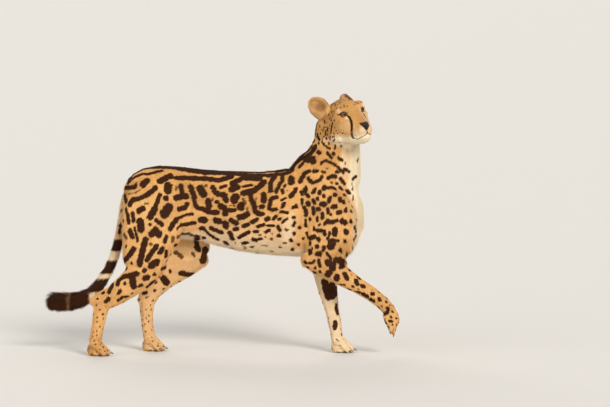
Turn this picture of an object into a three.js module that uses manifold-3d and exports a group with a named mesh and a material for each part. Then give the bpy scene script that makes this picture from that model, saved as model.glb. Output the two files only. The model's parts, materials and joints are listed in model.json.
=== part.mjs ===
// A life-size king cheetah walking, head turned to its right, right forefoot lifted.
// Millimetres, +X to the head, +Y to the animal's left, +Z up, paws resting on Z = 0.
import * as THREE from "three";
import { mergeVertices } from "three/addons/utils/BufferGeometryUtils.js";
import Module from "manifold-3d";

const wasm = await Module();
wasm.setup();

// ---------- driving dimensions ----------
const PARTING = 0.4; // gap left between neighbouring parts
const SLACK = 0.12; // how far thinning may move a surface
const HEAD_SCALE = 1.16; // the head is drawn 210 mm long, then scaled
const HEAD_AT = new THREE.Vector3(409, -4, 940); // where the skull sits on the neck
const HEAD_TURN = -57; // degrees, towards the animal's right
const HEAD_LIFT = 12;
const HEAD_TILT = 10;
const RIGHT_EAR = [0.5, -0.12]; // radians an ear leans outwards and is laid back
const LEFT_EAR = [0.82, -0.55];
const EYE_RADIUS = 16.5;
const EYE_PLACE = [90.5, 34.5, 30.5];
const TOE_SPREAD = 18; // from one toe's middle to the next
const CLAW_LENGTH = 15;
const LEG_SPLIT = 56; // legs part from the trunk this far from the middle plane
const CHEST_LOW = 398; // below this height there is nothing but forelegs
const GROIN_LOW = 464; // below this height there is nothing but hind legs and tail
const FORE_SPLIT = -43; // the plane between the forelegs, off to the right of the middle

const TAN = 0xd9974e;
const CREAM = 0xf0d9ac;
const DARK = 0x2e1c14;

// ---------- tools ----------
const AXIS_Y = new THREE.Vector3(0, 1, 0);
const AXIS_Z = new THREE.Vector3(0, 0, 1);

// Cubic blend of a list of numbers at a place t between 0 and 1.
function blend(values, t) {
  const s = t * (values.length - 1);
  const i = Math.min(Math.floor(s), values.length - 2);
  const at = (n) => values[Math.max(0, Math.min(values.length - 1, n))];
  const f = s - i;
  const [a, b, c, d] = [at(i - 1), at(i), at(i + 1), at(i + 2)];
  return b + 0.5 * f * (c - a + f * (2 * a - 5 * b + 4 * c - d + f * (3 * (b - c) + d - a)));
}

// A closed body of oval rings. Each station is [x, y, z, half depth, half width]:
// width runs along `across`, depth square to it and to the body's own line, or,
// where `upright` is set, straight up. Each end is rounded off by its share of `caps`.
function body(stations, { sides = 10, rings = 8, caps = [0.5, 0.5], upright = false } = {}) {
  const path = new THREE.CatmullRomCurve3(stations.map(([x, y, z]) => new THREE.Vector3(x, y, z)));
  path.curveType = "catmullrom";
  const column = (n) => stations.map((s) => s[n]);
  const capSteps = [
    [1, 0.3],
    [0.6, 0.8],
  ];
  const plan = [];
  if (caps[0]) for (const [out, size] of capSteps) plan.push({ t: 0, out: -out * caps[0], size });
  for (let i = 0; i <= rings; i++) plan.push({ t: i / rings, out: 0, size: 1 });
  capSteps.reverse();
  if (caps[1]) for (const [out, size] of capSteps) plan.push({ t: 1, out: out * caps[1], size });
  const fit = 2 / (1 + Math.cos(Math.PI / sides)); // the flats and corners straddle the oval
  const points = [];
  for (const { t, out, size } of plan) {
    const depth = blend(column(3), t) * size * fit;
    const width = blend(column(4), t) * size * fit;
    const along = upright ? new THREE.Vector3(1, 0, 0) : path.getTangent(t);
    const side = AXIS_Y.clone().addScaledVector(along, -along.dot(AXIS_Y)).normalize();
    const up = new THREE.Vector3().crossVectors(along, side);
    const reach = out * Math.min(blend(column(3), t), blend(column(4), t));
    const centre = path.getPoint(t).addScaledVector(along, reach);
    for (let k = 0; k < sides; k++) {
      const a = (2 * Math.PI * (k + 0.5)) / sides;
      const p = centre.clone().addScaledVector(side, width * Math.cos(a));
      points.push(p.addScaledVector(up, depth * Math.sin(a)));
    }
  }
  return ringSolid(points, sides);
}

// Joins rings of points into one closed solid, each end closed by a fan.
function ringSolid(points, sides) {
  const rows = points.length / sides;
  const faces = [];
  for (let r = 0; r < rows - 1; r++) {
    for (let k = 0; k < sides; k++) {
      const a = r * sides + k;
      const b = r * sides + ((k + 1) % sides);
      faces.push(a, b, b + sides, a, b + sides, a + sides);
    }
  }
  for (let k = 1; k < sides - 1; k++) {
    const last = (rows - 1) * sides;
    faces.push(0, k + 1, k, last, last + k, last + k + 1);
  }
  return toSolid(points.flatMap((p) => p.toArray()), faces);
}

function toSolid(coordinates, faces) {
  const made = new wasm.Manifold(
    new wasm.Mesh({
      numProp: 3,
      vertProperties: new Float32Array(coordinates),
      triVerts: new Uint32Array(faces),
    }),
  );
  if (made.volume() > 0) return made;
  const turned = faces.map((_, i) => faces[i - (i % 3) + ((3 - (i % 3)) % 3)]);
  return toSolid(coordinates, turned);
}

function fromGeometry(geometry) {
  const plain = geometry.clone();
  plain.deleteAttribute("normal");
  plain.deleteAttribute("uv");
  const merged = mergeVertices(plain, 1e-4);
  return toSolid([...merged.attributes.position.array], [...merged.index.array]);
}

// An ellipsoid of the given half sizes, turned about Y by `pitch` degrees.
function ball(centre, size, pitch = 0, detail = [8, 6]) {
  const g = new THREE.SphereGeometry(1, ...detail).rotateX(Math.PI / 2).scale(...size);
  return fromGeometry(g.rotateY(THREE.MathUtils.degToRad(pitch)).translate(...centre));
}

function box(low, high) {
  const size = high.map((h, i) => h - low[i]);
  const middle = high.map((h, i) => (h + low[i]) / 2);
  return fromGeometry(new THREE.BoxGeometry(...size).translate(...middle));
}

// Everything on one side of a plane, as a large block: `outward` points into the block.
function beyond(point, outward, size = 900) {
  const turn = new THREE.Quaternion().setFromUnitVectors(AXIS_Z, outward.clone().normalize());
  const block = new THREE.BoxGeometry(size, size, size).translate(0, 0, size / 2);
  return fromGeometry(block.applyQuaternion(turn).translate(...point.toArray()));
}

const join = (...solids) => solids.reduce((a, b) => a.add(b));

// The one main body of a solid, thinned, with specks left by the cuts dropped.
function largest(solid) {
  const biggest = (s) => s.decompose().sort((a, b) => b.volume() - a.volume())[0];
  const m = biggest(solid).getMesh();
  return biggest(toSolid(...thinned([...m.vertProperties], [...m.triVerts])));
}

// Takes out the slivers that joining leaves: a corner slides along one of its edges into
// its neighbour wherever the surface moves by less than SLACK and no face turns over.
function thinned(coordinates, triangles) {
  const at = (n) => new THREE.Vector3().fromArray(coordinates, 3 * n);
  const faces = triangles.reduce((l, n, i) => (i % 3 ? l[l.length - 1].push(n) : l.push([n]), l), []);
  const around = new Map();
  faces.forEach((f) => f.forEach((n) => around.set(n, (around.get(n) ?? new Set()).add(f))));
  const nearby = (n) => new Set([...around.get(n)].flat().filter((other) => other !== n));
  const plane = (f) => new THREE.Plane().setFromCoplanarPoints(...f.map(at));
  const area = (f) => new THREE.Triangle(...f.map(at)).getArea();
  const onSole = (n) => Math.abs(at(n).z) < 1e-3;
  const fits = (from, to) => {
    if (onSole(from) && !onSole(to)) return false;
    const shared = [...nearby(from)].filter((n) => nearby(to).has(n));
    if (shared.length !== 2) return false;
    return [...around.get(from)].every((f) => {
      if (f.includes(to)) return true;
      const turned = f.map((n) => (n === from ? to : n));
      if (area(turned) < 0.02) return false;
      const after = plane(turned);
      const straight = area(f) < 0.02 || after.normal.dot(plane(f).normal) > 0.9;
      return straight && Math.abs(after.distanceToPoint(at(from))) < SLACK;
    });
  };
  for (let pass = 0; pass < 3; pass++) {
    for (const from of [...around.keys()]) {
      const length = (to) => at(from).distanceTo(at(to));
      const near = [...nearby(from)].sort((a, b) => length(a) - length(b));
      const to = near.find((n) => fits(from, n));
      if (to === undefined) continue;
      for (const f of around.get(from)) {
        const gone = f.includes(to);
        f.forEach((n) => gone && n !== from && around.get(n).delete(f));
        if (gone) continue;
        f[f.indexOf(from)] = to;
        around.get(to).add(f);
      }
      around.delete(from);
    }
  }
  const kept = [...new Set([...around.values()].flatMap((set) => [...set]))];
  const corners = [...around.keys()];
  const order = new Map(corners.map((n, i) => [n, i]));
  return [corners.flatMap((n) => at(n).toArray()), kept.flat().map((n) => order.get(n))];
}

function moved(solid, matrix) {
  const m = solid.getMesh();
  const g = new THREE.BufferGeometry().setAttribute(
    "position",
    new THREE.BufferAttribute(new Float32Array(m.vertProperties), 3),
  );
  g.applyMatrix4(matrix);
  return toSolid([...g.attributes.position.array], [...m.triVerts]);
}

// ---------- trunk, neck and tail ----------
function makeTrunk() {
  // distance along the body, top line, belly line, half width
  const stations = [
    [-462, 706, 630, 34], // root of the tail
    [-434, 742, 560, 60],
    [-392, 763, 512, 77],
    [-330, 773, 482, 85], // croup
    [-250, 769, 474, 83],
    [-165, 759, 466, 77], // loin
    [-80, 752, 444, 81],
    [0, 750, 425, 91],
    [80, 747, 414, 99], // ribs
    [160, 752, 407, 101],
    [240, 768, 403, 97],
    [320, 756, 405, 89], // shoulders
    [390, 736, 412, 80],
    [440, 712, 430, 68], // breast
  ].map(([x, top, bottom, wide]) => [x, 0, (top + bottom) / 2, (top - bottom) / 2, wide]);
  return body(stations, { sides: 14, rings: 13, caps: [0.5, 0.98], upright: true });
}

function makeNeck() {
  const stations = [
    [318, 0, 640, 150, 84],
    [346, 0, 704, 146, 82],
    [368, 0, 752, 136, 77],
    [385, 0, 800, 115, 71],
    [394, 0, 846, 99, 67],
    [398, -1, 888, 92, 65],
    [396, -3, 930, 90, 62],
    [392, -4, 962, 84, 58],
  ];
  return body(stations, { sides: 14, rings: 6, caps: [0.3, 0.3] });
}

const TAIL = [
  [-426, 0, 712, 33, 30],
  [-450, 2, 672, 28, 26],
  [-469, 5, 596, 23, 21],
  [-484, 9, 524, 20, 19],
  [-500, 13, 452, 19, 18],
  [-524, 17, 376, 19, 19],
  [-562, 21, 304, 21, 20],
  [-606, 26, 248, 24, 22],
  [-660, 32, 219, 28, 25],
  [-720, 38, 211, 31, 28],
  [-762, 43, 213, 29, 27],
];
const makeTail = (grow = 0) => {
  const stations = TAIL.map(([x, y, z, deep, wide]) => [x, y, z, deep + grow, wide + grow]);
  return body(stations, { sides: 8, rings: 13, caps: [0.3, 1] });
};

// ---------- legs ----------
// A paw: four toes that fan out from the ball of the foot, over one flat pad.
// In its own frame the ball is at the origin, toes run towards +X, the sole is at Z = -height.
function makePaw({ height, long }) {
  const sole = -height;
  const parts = [];
  for (const lane of [-1.5, -0.5, 0.5, 1.5]) {
    const y = lane * TOE_SPREAD;
    const [start, reach] = toeReach(lane, long);
    parts.push(
      body(
        [
          [start - 12, y * 0.7, 6, 17, 13],
          [start + reach * 0.28, y * 0.92, 5, 17, 12],
          [start + reach * 0.6, y, sole * 0.38, 15, 11],
          [start + reach * 0.87, y * 1.02, sole + 12, 13, 10.5],
        ],
        { sides: 6, rings: 3, caps: [0.5, 1] },
      ),
    );
  }
  parts.push(ball([10, 0, sole + 10], [34, 30, 13], 0, [8, 5]));
  parts.push(ball([-10, 0, sole * 0.4], [24, 29, height * 0.75], 0, [8, 6]));
  const floor = box([-200, -200, sole - 60], [200, 200, sole]);
  return join(...parts).subtract(floor);
}

// Where a toe starts and how far it reaches: the two middle toes stand further out.
const toeReach = (lane, long) => (Math.abs(lane) < 1 ? [0, long] : [-4, long - 13]);

// Where the four claws of a paw start, in the paw's own frame.
function clawPlaces({ height, long }) {
  return [-1.5, -0.5, 0.5, 1.5].map((lane) => {
    const [start, reach] = toeReach(lane, long);
    const tip = start + reach * 0.87 + 7;
    return new THREE.Matrix4().makeTranslation(tip, lane * TOE_SPREAD * 1.03, -height + 15);
  });
}

// A claw curving forwards and down from the origin.
function makeClaw() {
  const stations = [0, 0.55, 1].map((f) => [
    CLAW_LENGTH * f,
    0,
    -CLAW_LENGTH * 0.5 * f * f,
    3.8 * (1 - 0.8 * f),
    2.7 * (1 - 0.72 * f),
  ]);
  return body(stations, { sides: 5, rings: 2, caps: [0, 0] });
}

// Where a paw goes: the ball of the foot, and how many degrees the toes hang down.
function pawPlace(ballOfFoot, droop = 0) {
  return new THREE.Matrix4().makeRotationY(THREE.MathUtils.degToRad(droop)).setPosition(...ballOfFoot);
}

const FORE_PAW = { height: 40, long: 60 };
// the dewclaw sits on the inner side of the foreleg, above and behind the ball
const dewclawPlace = (inner) =>
  new THREE.Matrix4().makeRotationZ(inner * 0.7).setPosition(-12, inner * 27, 18);
const HIND_PAW = { height: 40, long: 60 };

// The shoulder blade and upper arm, shared by both forelegs; side is -1 right, +1 left.
function makeShoulder(side, swing) {
  const stations = [
    [262, 50, 742, 46, 17],
    [300, 62, 700, 74, 27],
    [350, 72, 622, 96, 33],
    [372 + swing, 76, 545, 106, 35],
    [362 + swing, 77, 470, 98, 35],
    [334 + swing, 77, 408, 68, 33],
  ].map(([x, y, z, deep, wide]) => [x, side * y, z, deep, wide]);
  return body(stations, { sides: 10, rings: 5, caps: [0.6, 0.8] });
}

// Right foreleg: forearm carried forward, paw lifted and drooping.
const RIGHT_FORE_BALL = [630, -76, 156];
const RIGHT_FORE_DROOP = 68;
function makeRightForeleg() {
  const forearm = [
    [268, -78, 394, 30, 22],
    [308, -79, 392, 50, 30],
    [366, -79, 366, 54, 32],
    [424, -78, 324, 41, 29],
    [482, -77, 288, 32, 25],
    [536, -76, 254, 30, 26], // wrist
    [580, -76, 220, 28, 26],
    [608, -76, 190, 27, 27],
    [624, -76, 160, 26, 28],
  ];
  const arm = body(forearm, { sides: 9, rings: 8, caps: [0.8, 0.5] });
  const paw = moved(makePaw(FORE_PAW), pawPlace(RIGHT_FORE_BALL, RIGHT_FORE_DROOP));
  const upperArm = ball([397, -79, 386], [37, 30, 48]);
  return join(makeShoulder(-1, 0), upperArm, arm, paw);
}

// Left foreleg: standing straight under the shoulder.
const LEFT_FORE_BALL = [406, 18, 40];
function makeLeftForeleg() {
  const forearm = [
    [330, 74, 430, 50, 30],
    [338, 72, 380, 52, 31],
    [351, 62, 315, 46, 31],
    [364, 49, 240, 38, 29],
    [378, 36, 176, 29, 26],
    [388, 27, 128, 28, 27], // wrist
    [395, 22, 86, 25, 26],
    [401, 19, 46, 26, 27],
  ];
  const elbow = ball([298, 76, 384], [28, 20, 34], 20, [8, 6]);
  const arm = body(forearm, { sides: 9, rings: 7, caps: [0.5, 0.3] });
  const paw = moved(makePaw(FORE_PAW), pawPlace(LEFT_FORE_BALL));
  return join(makeShoulder(1, -14), elbow, arm, paw);
}

// Right hind leg: stretched back at the end of its stride.
const RIGHT_HIND_BALL = [-592, -88, 40];
function makeRightHindLeg() {
  const thigh = [
    [-380, -44, 712, 74, 28],
    [-364, -60, 645, 108, 36],
    [-352, -70, 568, 124, 40],
    [-360, -76, 498, 120, 41],
    [-384, -79, 428, 98, 39],
    [-396, -80, 372, 84, 37],
  ];
  const shank = [
    [-345, -79, 374, 54, 33],
    [-408, -81, 334, 66, 36],
    [-466, -83, 282, 53, 30],
    [-508, -85, 250, 45, 26],
    [-552, -86, 222, 36, 24],
  ];
  const heel = [
    [-530, -85, 260, 24, 16],
    [-574, -86, 240, 22, 15],
    [-598, -86, 220, 19, 17],
  ];
  const foot = [
    [-560, -86, 226, 38, 25],
    [-570, -86, 176, 31, 24],
    [-580, -87, 120, 26, 23],
    [-592, -88, 56, 26, 26],
  ];
  return makeHindLeg(thigh, shank, heel, foot, RIGHT_HIND_BALL);
}

// Left hind leg: forward under the belly, knee bent.
const LEFT_HIND_BALL = [-374, 66, 40];
function makeLeftHindLeg() {
  const thigh = [
    [-372, 44, 712, 78, 28],
    [-348, 60, 645, 114, 36],
    [-312, 70, 566, 122, 40],
    [-258, 76, 496, 112, 41],
    [-206, 77, 436, 88, 38],
    [-174, 77, 398, 62, 35],
  ];
  const shank = [
    [-162, 77, 400, 52, 34],
    [-238, 77, 362, 62, 36],
    [-318, 75, 302, 50, 30],
    [-364, 72, 248, 39, 25],
    [-388, 70, 204, 35, 24],
  ];
  const heel = [
    [-358, 72, 270, 24, 16],
    [-396, 70, 236, 22, 15],
    [-410, 70, 210, 18, 17],
  ];
  const foot = [
    [-386, 70, 212, 36, 25],
    [-388, 69, 158, 28, 23],
    [-385, 68, 106, 25, 23],
    [-376, 67, 52, 26, 26],
  ];
  const hamstring = [
    [-420, 60, 600, 62, 30],
    [-368, 70, 506, 72, 30],
    [-308, 74, 416, 62, 30],
    [-276, 74, 352, 46, 26],
  ];
  const leg = makeHindLeg(thigh, shank, heel, foot, LEFT_HIND_BALL);
  return leg.add(body(hamstring, { sides: 8, rings: 4, caps: [0.6, 0.6] }));
}

function makeHindLeg(thigh, shank, heel, foot, ballOfFoot) {
  return join(
    body(thigh, { sides: 10, rings: 5, caps: [0.6, 0.7] }),
    body(shank, { sides: 9, rings: 4, caps: [0.7, 0.6] }),
    body(heel, { sides: 6, rings: 2, caps: [0.5, 0.8] }),
    body(foot, { sides: 8, rings: 3, caps: [0.6, 0.3] }),
    moved(makePaw(HIND_PAW), pawPlace(ballOfFoot)),
  );
}

// ---------- head, in its own frame: nose towards +X ----------
function makeSkull() {
  // distance forward, top, bottom, half width
  const stations = [
    [-46, 34, -42, 40],
    [-26, 68, -60, 54],
    [4, 83, -74, 61],
    [36, 87, -80, 64],
    [64, 81, -82, 66],
    [88, 70, -84, 63],
    [106, 50, -86, 53],
    [120, 27, -86, 41],
    [133, 8, -84, 33],
    [145, -6, -78, 26],
  ].map(([x, top, bottom, wide]) => [x, 0, (top + bottom) / 2, (top - bottom) / 2, wide]);
  const parts = [body(stations, { sides: 14, rings: 9, caps: [0.4, 0.35], upright: true })];
  for (const side of [-1, 1]) {
    parts.push(ball([38, side * 46, -30], [44, 26, 40])); // jowl
    parts.push(ball([72, side * 45, 14], [35, 24, 29])); // cheekbone
    parts.push(ball([133, side * 14.5, -40], [26, 17, 21])); // whisker pad
    parts.push(ball([86, side * 40, 54], [20, 27, 15], 24, [7, 5])); // brow
    parts.push(ball([79, side * 47, 32], [21, 17, 20])); // outer rim of the eye socket
  }
  parts.push(ball([128, 0, -67], [24, 20, 18])); // chin
  parts.push(ball([149, 0, -25], [13, 18, 13], 0, [8, 6])); // nose
  return join(...parts);
}

// One ear: a cupped, rounded leaf standing out from the side of the skull.
// `grow` makes the same leaf larger and solid, to clear its room in the skull.
function makeEar(side, grow = 0) {
  const leaf = body(
    [
      [0, 0, -10, 22, 30],
      [0, 0, 12, 21, 34],
      [0, 0, 34, 15, 35],
      [0, 0, 52, 9.5, 28],
      [0, 0, 62, 6, 17],
    ].map(([x, y, z, deep, wide]) => [x, y, z, deep + grow, wide + grow]),
    { sides: 10, rings: 4, caps: [0.2, 0.9] },
  );
  const cup = body(
    [
      [15, 0, 6, 11, 15],
      [16, 0, 26, 14, 26],
      [15, 0, 46, 13, 24],
      [13, 0, 62, 10, 13],
    ],
    { sides: 8, rings: 3, caps: [0.6, 0.8] },
  );
  const [lean, back] = side < 0 ? RIGHT_EAR : LEFT_EAR;
  const turn = new THREE.Euler(-side * lean, back, side * 0.5, "ZYX");
  const place = new THREE.Matrix4().compose(
    new THREE.Vector3(6, side * 55, 54),
    new THREE.Quaternion().setFromEuler(turn),
    new THREE.Vector3(1, 1, 1),
  );
  return moved(grow ? leaf : leaf.subtract(cup), place);
}

const HEAD_MATRIX = new THREE.Matrix4().compose(
  HEAD_AT,
  new THREE.Quaternion()
    .setFromAxisAngle(AXIS_Z, THREE.MathUtils.degToRad(HEAD_TURN))
    .multiply(new THREE.Quaternion().setFromAxisAngle(AXIS_Y, THREE.MathUtils.degToRad(-HEAD_LIFT)))
    .multiply(
      new THREE.Quaternion().setFromAxisAngle(
        new THREE.Vector3(1, 0, 0),
        THREE.MathUtils.degToRad(HEAD_TILT),
      ),
    ),
  new THREE.Vector3(HEAD_SCALE, HEAD_SCALE, HEAD_SCALE),
);
const inHead = (point) => new THREE.Vector3(...point).applyMatrix4(HEAD_MATRIX);
const headDirection = (d) => new THREE.Vector3(...d).transformDirection(HEAD_MATRIX);

// ---------- parting ----------
// The space that belongs to one leg: a smooth outline seen from the side, reaching in
// to LEG_SPLIT from the middle plane; `grow` makes it larger on all its inner sides.
function legSpace(side, outline, grow) {
  const round = new THREE.CatmullRomCurve3(outline.map(([x, z]) => new THREE.Vector3(x, z, 0)), true);
  const ring = round.getPoints(16).slice(0, -1);
  const centre = ring.reduce((sum, p) => sum.addScaledVector(p, 1 / ring.length), new THREE.Vector3());
  const shape = new THREE.Shape(
    ring.map((p) => {
      const out = p.clone().sub(centre);
      const far = out.length();
      return new THREE.Vector2(...out.multiplyScalar((far + 1.5 * grow) / far).add(centre).toArray());
    }),
  );
  const depth = 300;
  const prism = new THREE.ExtrudeGeometry(shape, { depth, bevelEnabled: false })
    .rotateX(Math.PI / 2) // the outline's second axis up, its depth towards -Y
    .translate(0, side < 0 ? -LEG_SPLIT + grow : LEG_SPLIT - grow + depth, 0);
  return fromGeometry(prism);
}

const FORE_SPACE = [
  [205, 300],
  [500, 300],
  [520, 480],
  [508, 600],
  [440, 690],
  [330, 720],
  [262, 690],
  [232, 600],
  [222, 480],
];
const HIND_SPACE = [
  [-640, 300],
  [-90, 300],
  [-110, 470],
  [-190, 560],
  [-250, 640],
  [-330, 690],
  [-420, 690],
  [-476, 630],
  [-520, 500],
];

// Below the chest and below the groin each leg takes everything on its own side.
function lowSpace(side, fore, grow) {
  const split = fore ? FORE_SPLIT : 0;
  const y = side < 0 ? [-400, split - 0.5 + grow] : [split + 0.5 - grow, 400];
  const x = fore ? [150 - grow, 900] : [-900, -140 + grow];
  const top = (fore ? CHEST_LOW : GROIN_LOW) + grow;
  return box([x[0], y[0], -50], [x[1], y[1], top]);
}

function main() {
  const skin = new THREE.MeshStandardMaterial({ color: TAN, roughness: 0.85 });
  const pale = new THREE.MeshStandardMaterial({ color: CREAM, roughness: 0.85 });
  const horn = new THREE.MeshStandardMaterial({ color: DARK, roughness: 0.45 });
  const eye = new THREE.MeshStandardMaterial({ color: 0xa8601c, roughness: 0.12 });

  const legs = {
    right_foreleg: { solid: makeRightForeleg(), side: -1, fore: true },
    left_foreleg: { solid: makeLeftForeleg(), side: 1, fore: true },
    right_hind_leg: { solid: makeRightHindLeg(), side: -1, fore: false },
    left_hind_leg: { solid: makeLeftHindLeg(), side: 1, fore: false },
  };
  const eyes = {};
  for (const [name, side] of [["right_eye", -1], ["left_eye", 1]]) {
    const [x, y, z] = EYE_PLACE;
    eyes[name] = inHead([x, side * y, z]);
  }
  const eyeBall = (centre, extra) =>
    ball(centre.toArray(), Array(3).fill(EYE_RADIUS * HEAD_SCALE + extra), 0, [12, 8]);

  const skull = moved(makeSkull(), HEAD_MATRIX);
  const trunk = makeTrunk();
  const neck = makeNeck();
  const tail = makeTail();
  const whole = join(trunk, neck, skull, tail, ...Object.values(legs).map((l) => l.solid));

  const group = new THREE.Group();
  const add = (name, solid, material) => {
    const m = solid.getMesh();
    const g = new THREE.BufferGeometry()
      .setAttribute("position", new THREE.BufferAttribute(new Float32Array(m.vertProperties), 3))
      .setIndex(new THREE.BufferAttribute(new Uint32Array(m.triVerts), 1));
    g.computeVertexNormals();
    const mesh = new THREE.Mesh(g, material);
    mesh.name = name;
    group.add(mesh);
  };

  // head from neck, neck from trunk, tail from trunk: each a plane with a gap
  const throat = new THREE.Vector3(396, 0, 886);
  const throatUp = new THREE.Vector3(0.05, -0.1, 1).normalize();
  const collar = new THREE.Vector3(372, 0, 762);
  const collarUp = new THREE.Vector3(0.3, 0, 0.95).normalize();
  const dock = new THREE.Vector3(-470, 0, 664);
  const dockOut = new THREE.Vector3(-0.75, 0, -0.4).normalize();
  const shift = (point, along, by) => point.clone().addScaledVector(along, by);

  const claws = {};
  const clawShape = makeClaw();
  const paws = {
    right_fore: [FORE_PAW, RIGHT_FORE_BALL, RIGHT_FORE_DROOP],
    left_fore: [FORE_PAW, LEFT_FORE_BALL, 0],
    right_hind: [HIND_PAW, RIGHT_HIND_BALL, 0],
    left_hind: [HIND_PAW, LEFT_HIND_BALL, 0],
  };
  for (const [name, [size, at, droop]] of Object.entries(paws)) {
    clawPlaces(size).forEach((place, i) => {
      claws[`${name}_claw_${i + 1}`] = pawPlace(at, droop).multiply(place);
    });
  }
  const dewclaws = { right_fore_dewclaw: ["right_fore", 1], left_fore_dewclaw: ["left_fore", -1] };
  for (const [name, [paw, inner]] of Object.entries(dewclaws)) {
    const [, at, droop] = paws[paw];
    claws[name] = pawPlace(at, droop).multiply(dewclawPlace(inner));
  }
  const looser = new THREE.Matrix4().makeScale(1.15, 1.3, 1.3).setPosition(-2 * PARTING, 0, 0);
  const clawRoom = (matrix) => moved(clawShape, matrix.clone().multiply(looser));
  const footRoom = Object.fromEntries(Object.keys(paws).map((k) => [k, []]));
  for (const [name, matrix] of Object.entries(claws)) {
    footRoom[name.replace(/_(dew)?claw.*/, "")].push(clawRoom(matrix));
  }

  let rest = whole;
  for (const [name, { side, fore }] of Object.entries(legs)) {
    const outline = fore ? FORE_SPACE : HIND_SPACE;
    const space = (grow) => join(legSpace(side, outline, grow), lowSpace(side, fore, grow));
    const tailRoom = makeTail(1).intersect(beyond(shift(dock, dockOut, -PARTING), dockOut));
    let leg = whole.intersect(space(0));
    if (!fore) leg = leg.subtract(tailRoom);
    for (const room of footRoom[name.replace("foreleg", "fore").replace("hind_leg", "hind")]) {
      leg = leg.subtract(room);
    }
    add(name, largest(leg), skin);
    rest = rest.subtract(space(PARTING));
  }
  const tailSide = beyond(dock, dockOut);
  add("tail", tail.intersect(tailSide), skin);
  rest = rest.subtract(beyond(shift(dock, dockOut, -PARTING), dockOut));

  const eyeRoom = join(...Object.values(eyes).map((c) => eyeBall(c, PARTING)));
  const earPlane = (side) => {
    const lean = side < 0 ? 0.67 : 0.85;
    return [inHead([10, side * 47, 50]), headDirection([-0.05, side * Math.sin(lean), Math.cos(lean)])];
  };
  let headPart = rest.intersect(beyond(throat, throatUp));
  for (const [name, side] of [["right_ear", -1], ["left_ear", 1]]) {
    const [point, out] = earPlane(side);
    const ear = moved(makeEar(side), HEAD_MATRIX).intersect(beyond(point, out, 400));
    const room = moved(makeEar(side, PARTING), HEAD_MATRIX);
    headPart = headPart.subtract(room.intersect(beyond(shift(point, out, -PARTING), out, 400)));
    add(name, largest(ear), skin);
  }
  headPart = headPart.subtract(eyeRoom);
  add("head", largest(headPart), skin);
  for (const [name, centre] of Object.entries(eyes)) add(name, eyeBall(centre, 0), eye);

  const lower = rest.subtract(beyond(shift(throat, throatUp, -PARTING), throatUp));
  const neckPart = lower.intersect(beyond(collar, collarUp));
  add("neck", largest(neckPart), skin);
  const trunkPart = lower.subtract(beyond(shift(collar, collarUp, -PARTING), collarUp));
  add("trunk", largest(trunkPart), pale);
  for (const [name, matrix] of Object.entries(claws)) add(name, moved(clawShape, matrix), horn);
  stand(group);
  return group;
}

// Carries everything so that the origin is the middle of the bounding box's floor.
function stand(group) {
  const bounds = new THREE.Box3().setFromObject(group);
  const middle = bounds.getCenter(new THREE.Vector3());
  for (const mesh of group.children) mesh.geometry.translate(-middle.x, -middle.y, -bounds.min.z);
}

export default main();
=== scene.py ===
import json
import math

import bpy
import numpy as np
from bpy.props import FloatProperty, FloatVectorProperty, IntProperty, PointerProperty
from mathutils import Matrix, Vector
from mathutils.bvhtree import BVHTree

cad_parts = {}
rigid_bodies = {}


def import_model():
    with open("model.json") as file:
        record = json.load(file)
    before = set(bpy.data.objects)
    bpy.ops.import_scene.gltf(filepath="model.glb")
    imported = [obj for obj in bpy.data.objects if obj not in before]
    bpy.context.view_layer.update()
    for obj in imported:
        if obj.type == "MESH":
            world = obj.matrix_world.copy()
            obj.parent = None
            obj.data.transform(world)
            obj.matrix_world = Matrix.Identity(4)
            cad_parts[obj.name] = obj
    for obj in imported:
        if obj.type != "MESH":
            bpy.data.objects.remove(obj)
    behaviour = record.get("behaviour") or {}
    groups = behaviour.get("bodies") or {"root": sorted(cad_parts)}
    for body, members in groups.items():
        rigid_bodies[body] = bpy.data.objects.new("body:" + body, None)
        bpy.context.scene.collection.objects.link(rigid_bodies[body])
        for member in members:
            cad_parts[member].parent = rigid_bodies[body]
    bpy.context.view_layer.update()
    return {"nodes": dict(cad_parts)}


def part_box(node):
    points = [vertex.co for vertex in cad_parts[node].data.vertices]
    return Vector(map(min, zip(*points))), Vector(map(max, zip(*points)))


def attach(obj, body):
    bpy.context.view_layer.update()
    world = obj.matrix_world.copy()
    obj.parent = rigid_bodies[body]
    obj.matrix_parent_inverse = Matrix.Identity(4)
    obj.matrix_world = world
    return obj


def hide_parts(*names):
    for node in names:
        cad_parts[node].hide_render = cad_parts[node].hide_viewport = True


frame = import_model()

bl_info = {
    "name": "King cheetah figure",
    "version": (1, 0, 0),
    "blender": (4, 5, 0),
    "location": "View3D > Sidebar > Cheetah",
    "description": "Dresses the life-size cheetah in its skin, coat, eyes, claws and whiskers",
    "category": "Object",
}

MM = 0.001
SIDES = {"right": -1, "left": 1}
EARS = ("right_ear", "left_ear")
LEGS = ("right_foreleg", "left_foreleg", "right_hind_leg", "left_hind_leg")
FLESH = ("trunk", "neck", "head", "tail") + EARS + LEGS
CLAWS = tuple(name for name in frame["nodes"] if "claw" in name)
PAWS = ("right_fore", "left_fore", "right_hind", "left_hind")

# The pattern is drawn in millimetres from a zero on the floor under the trunk, 478.6 mm in
# front of the trunk's rearmost point and in the middle of its width.
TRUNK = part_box("trunk")
ZERO = Vector((TRUNK[0].x + 0.4786, (TRUNK[0].y + TRUNK[1].y) / 2, 0))

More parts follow.
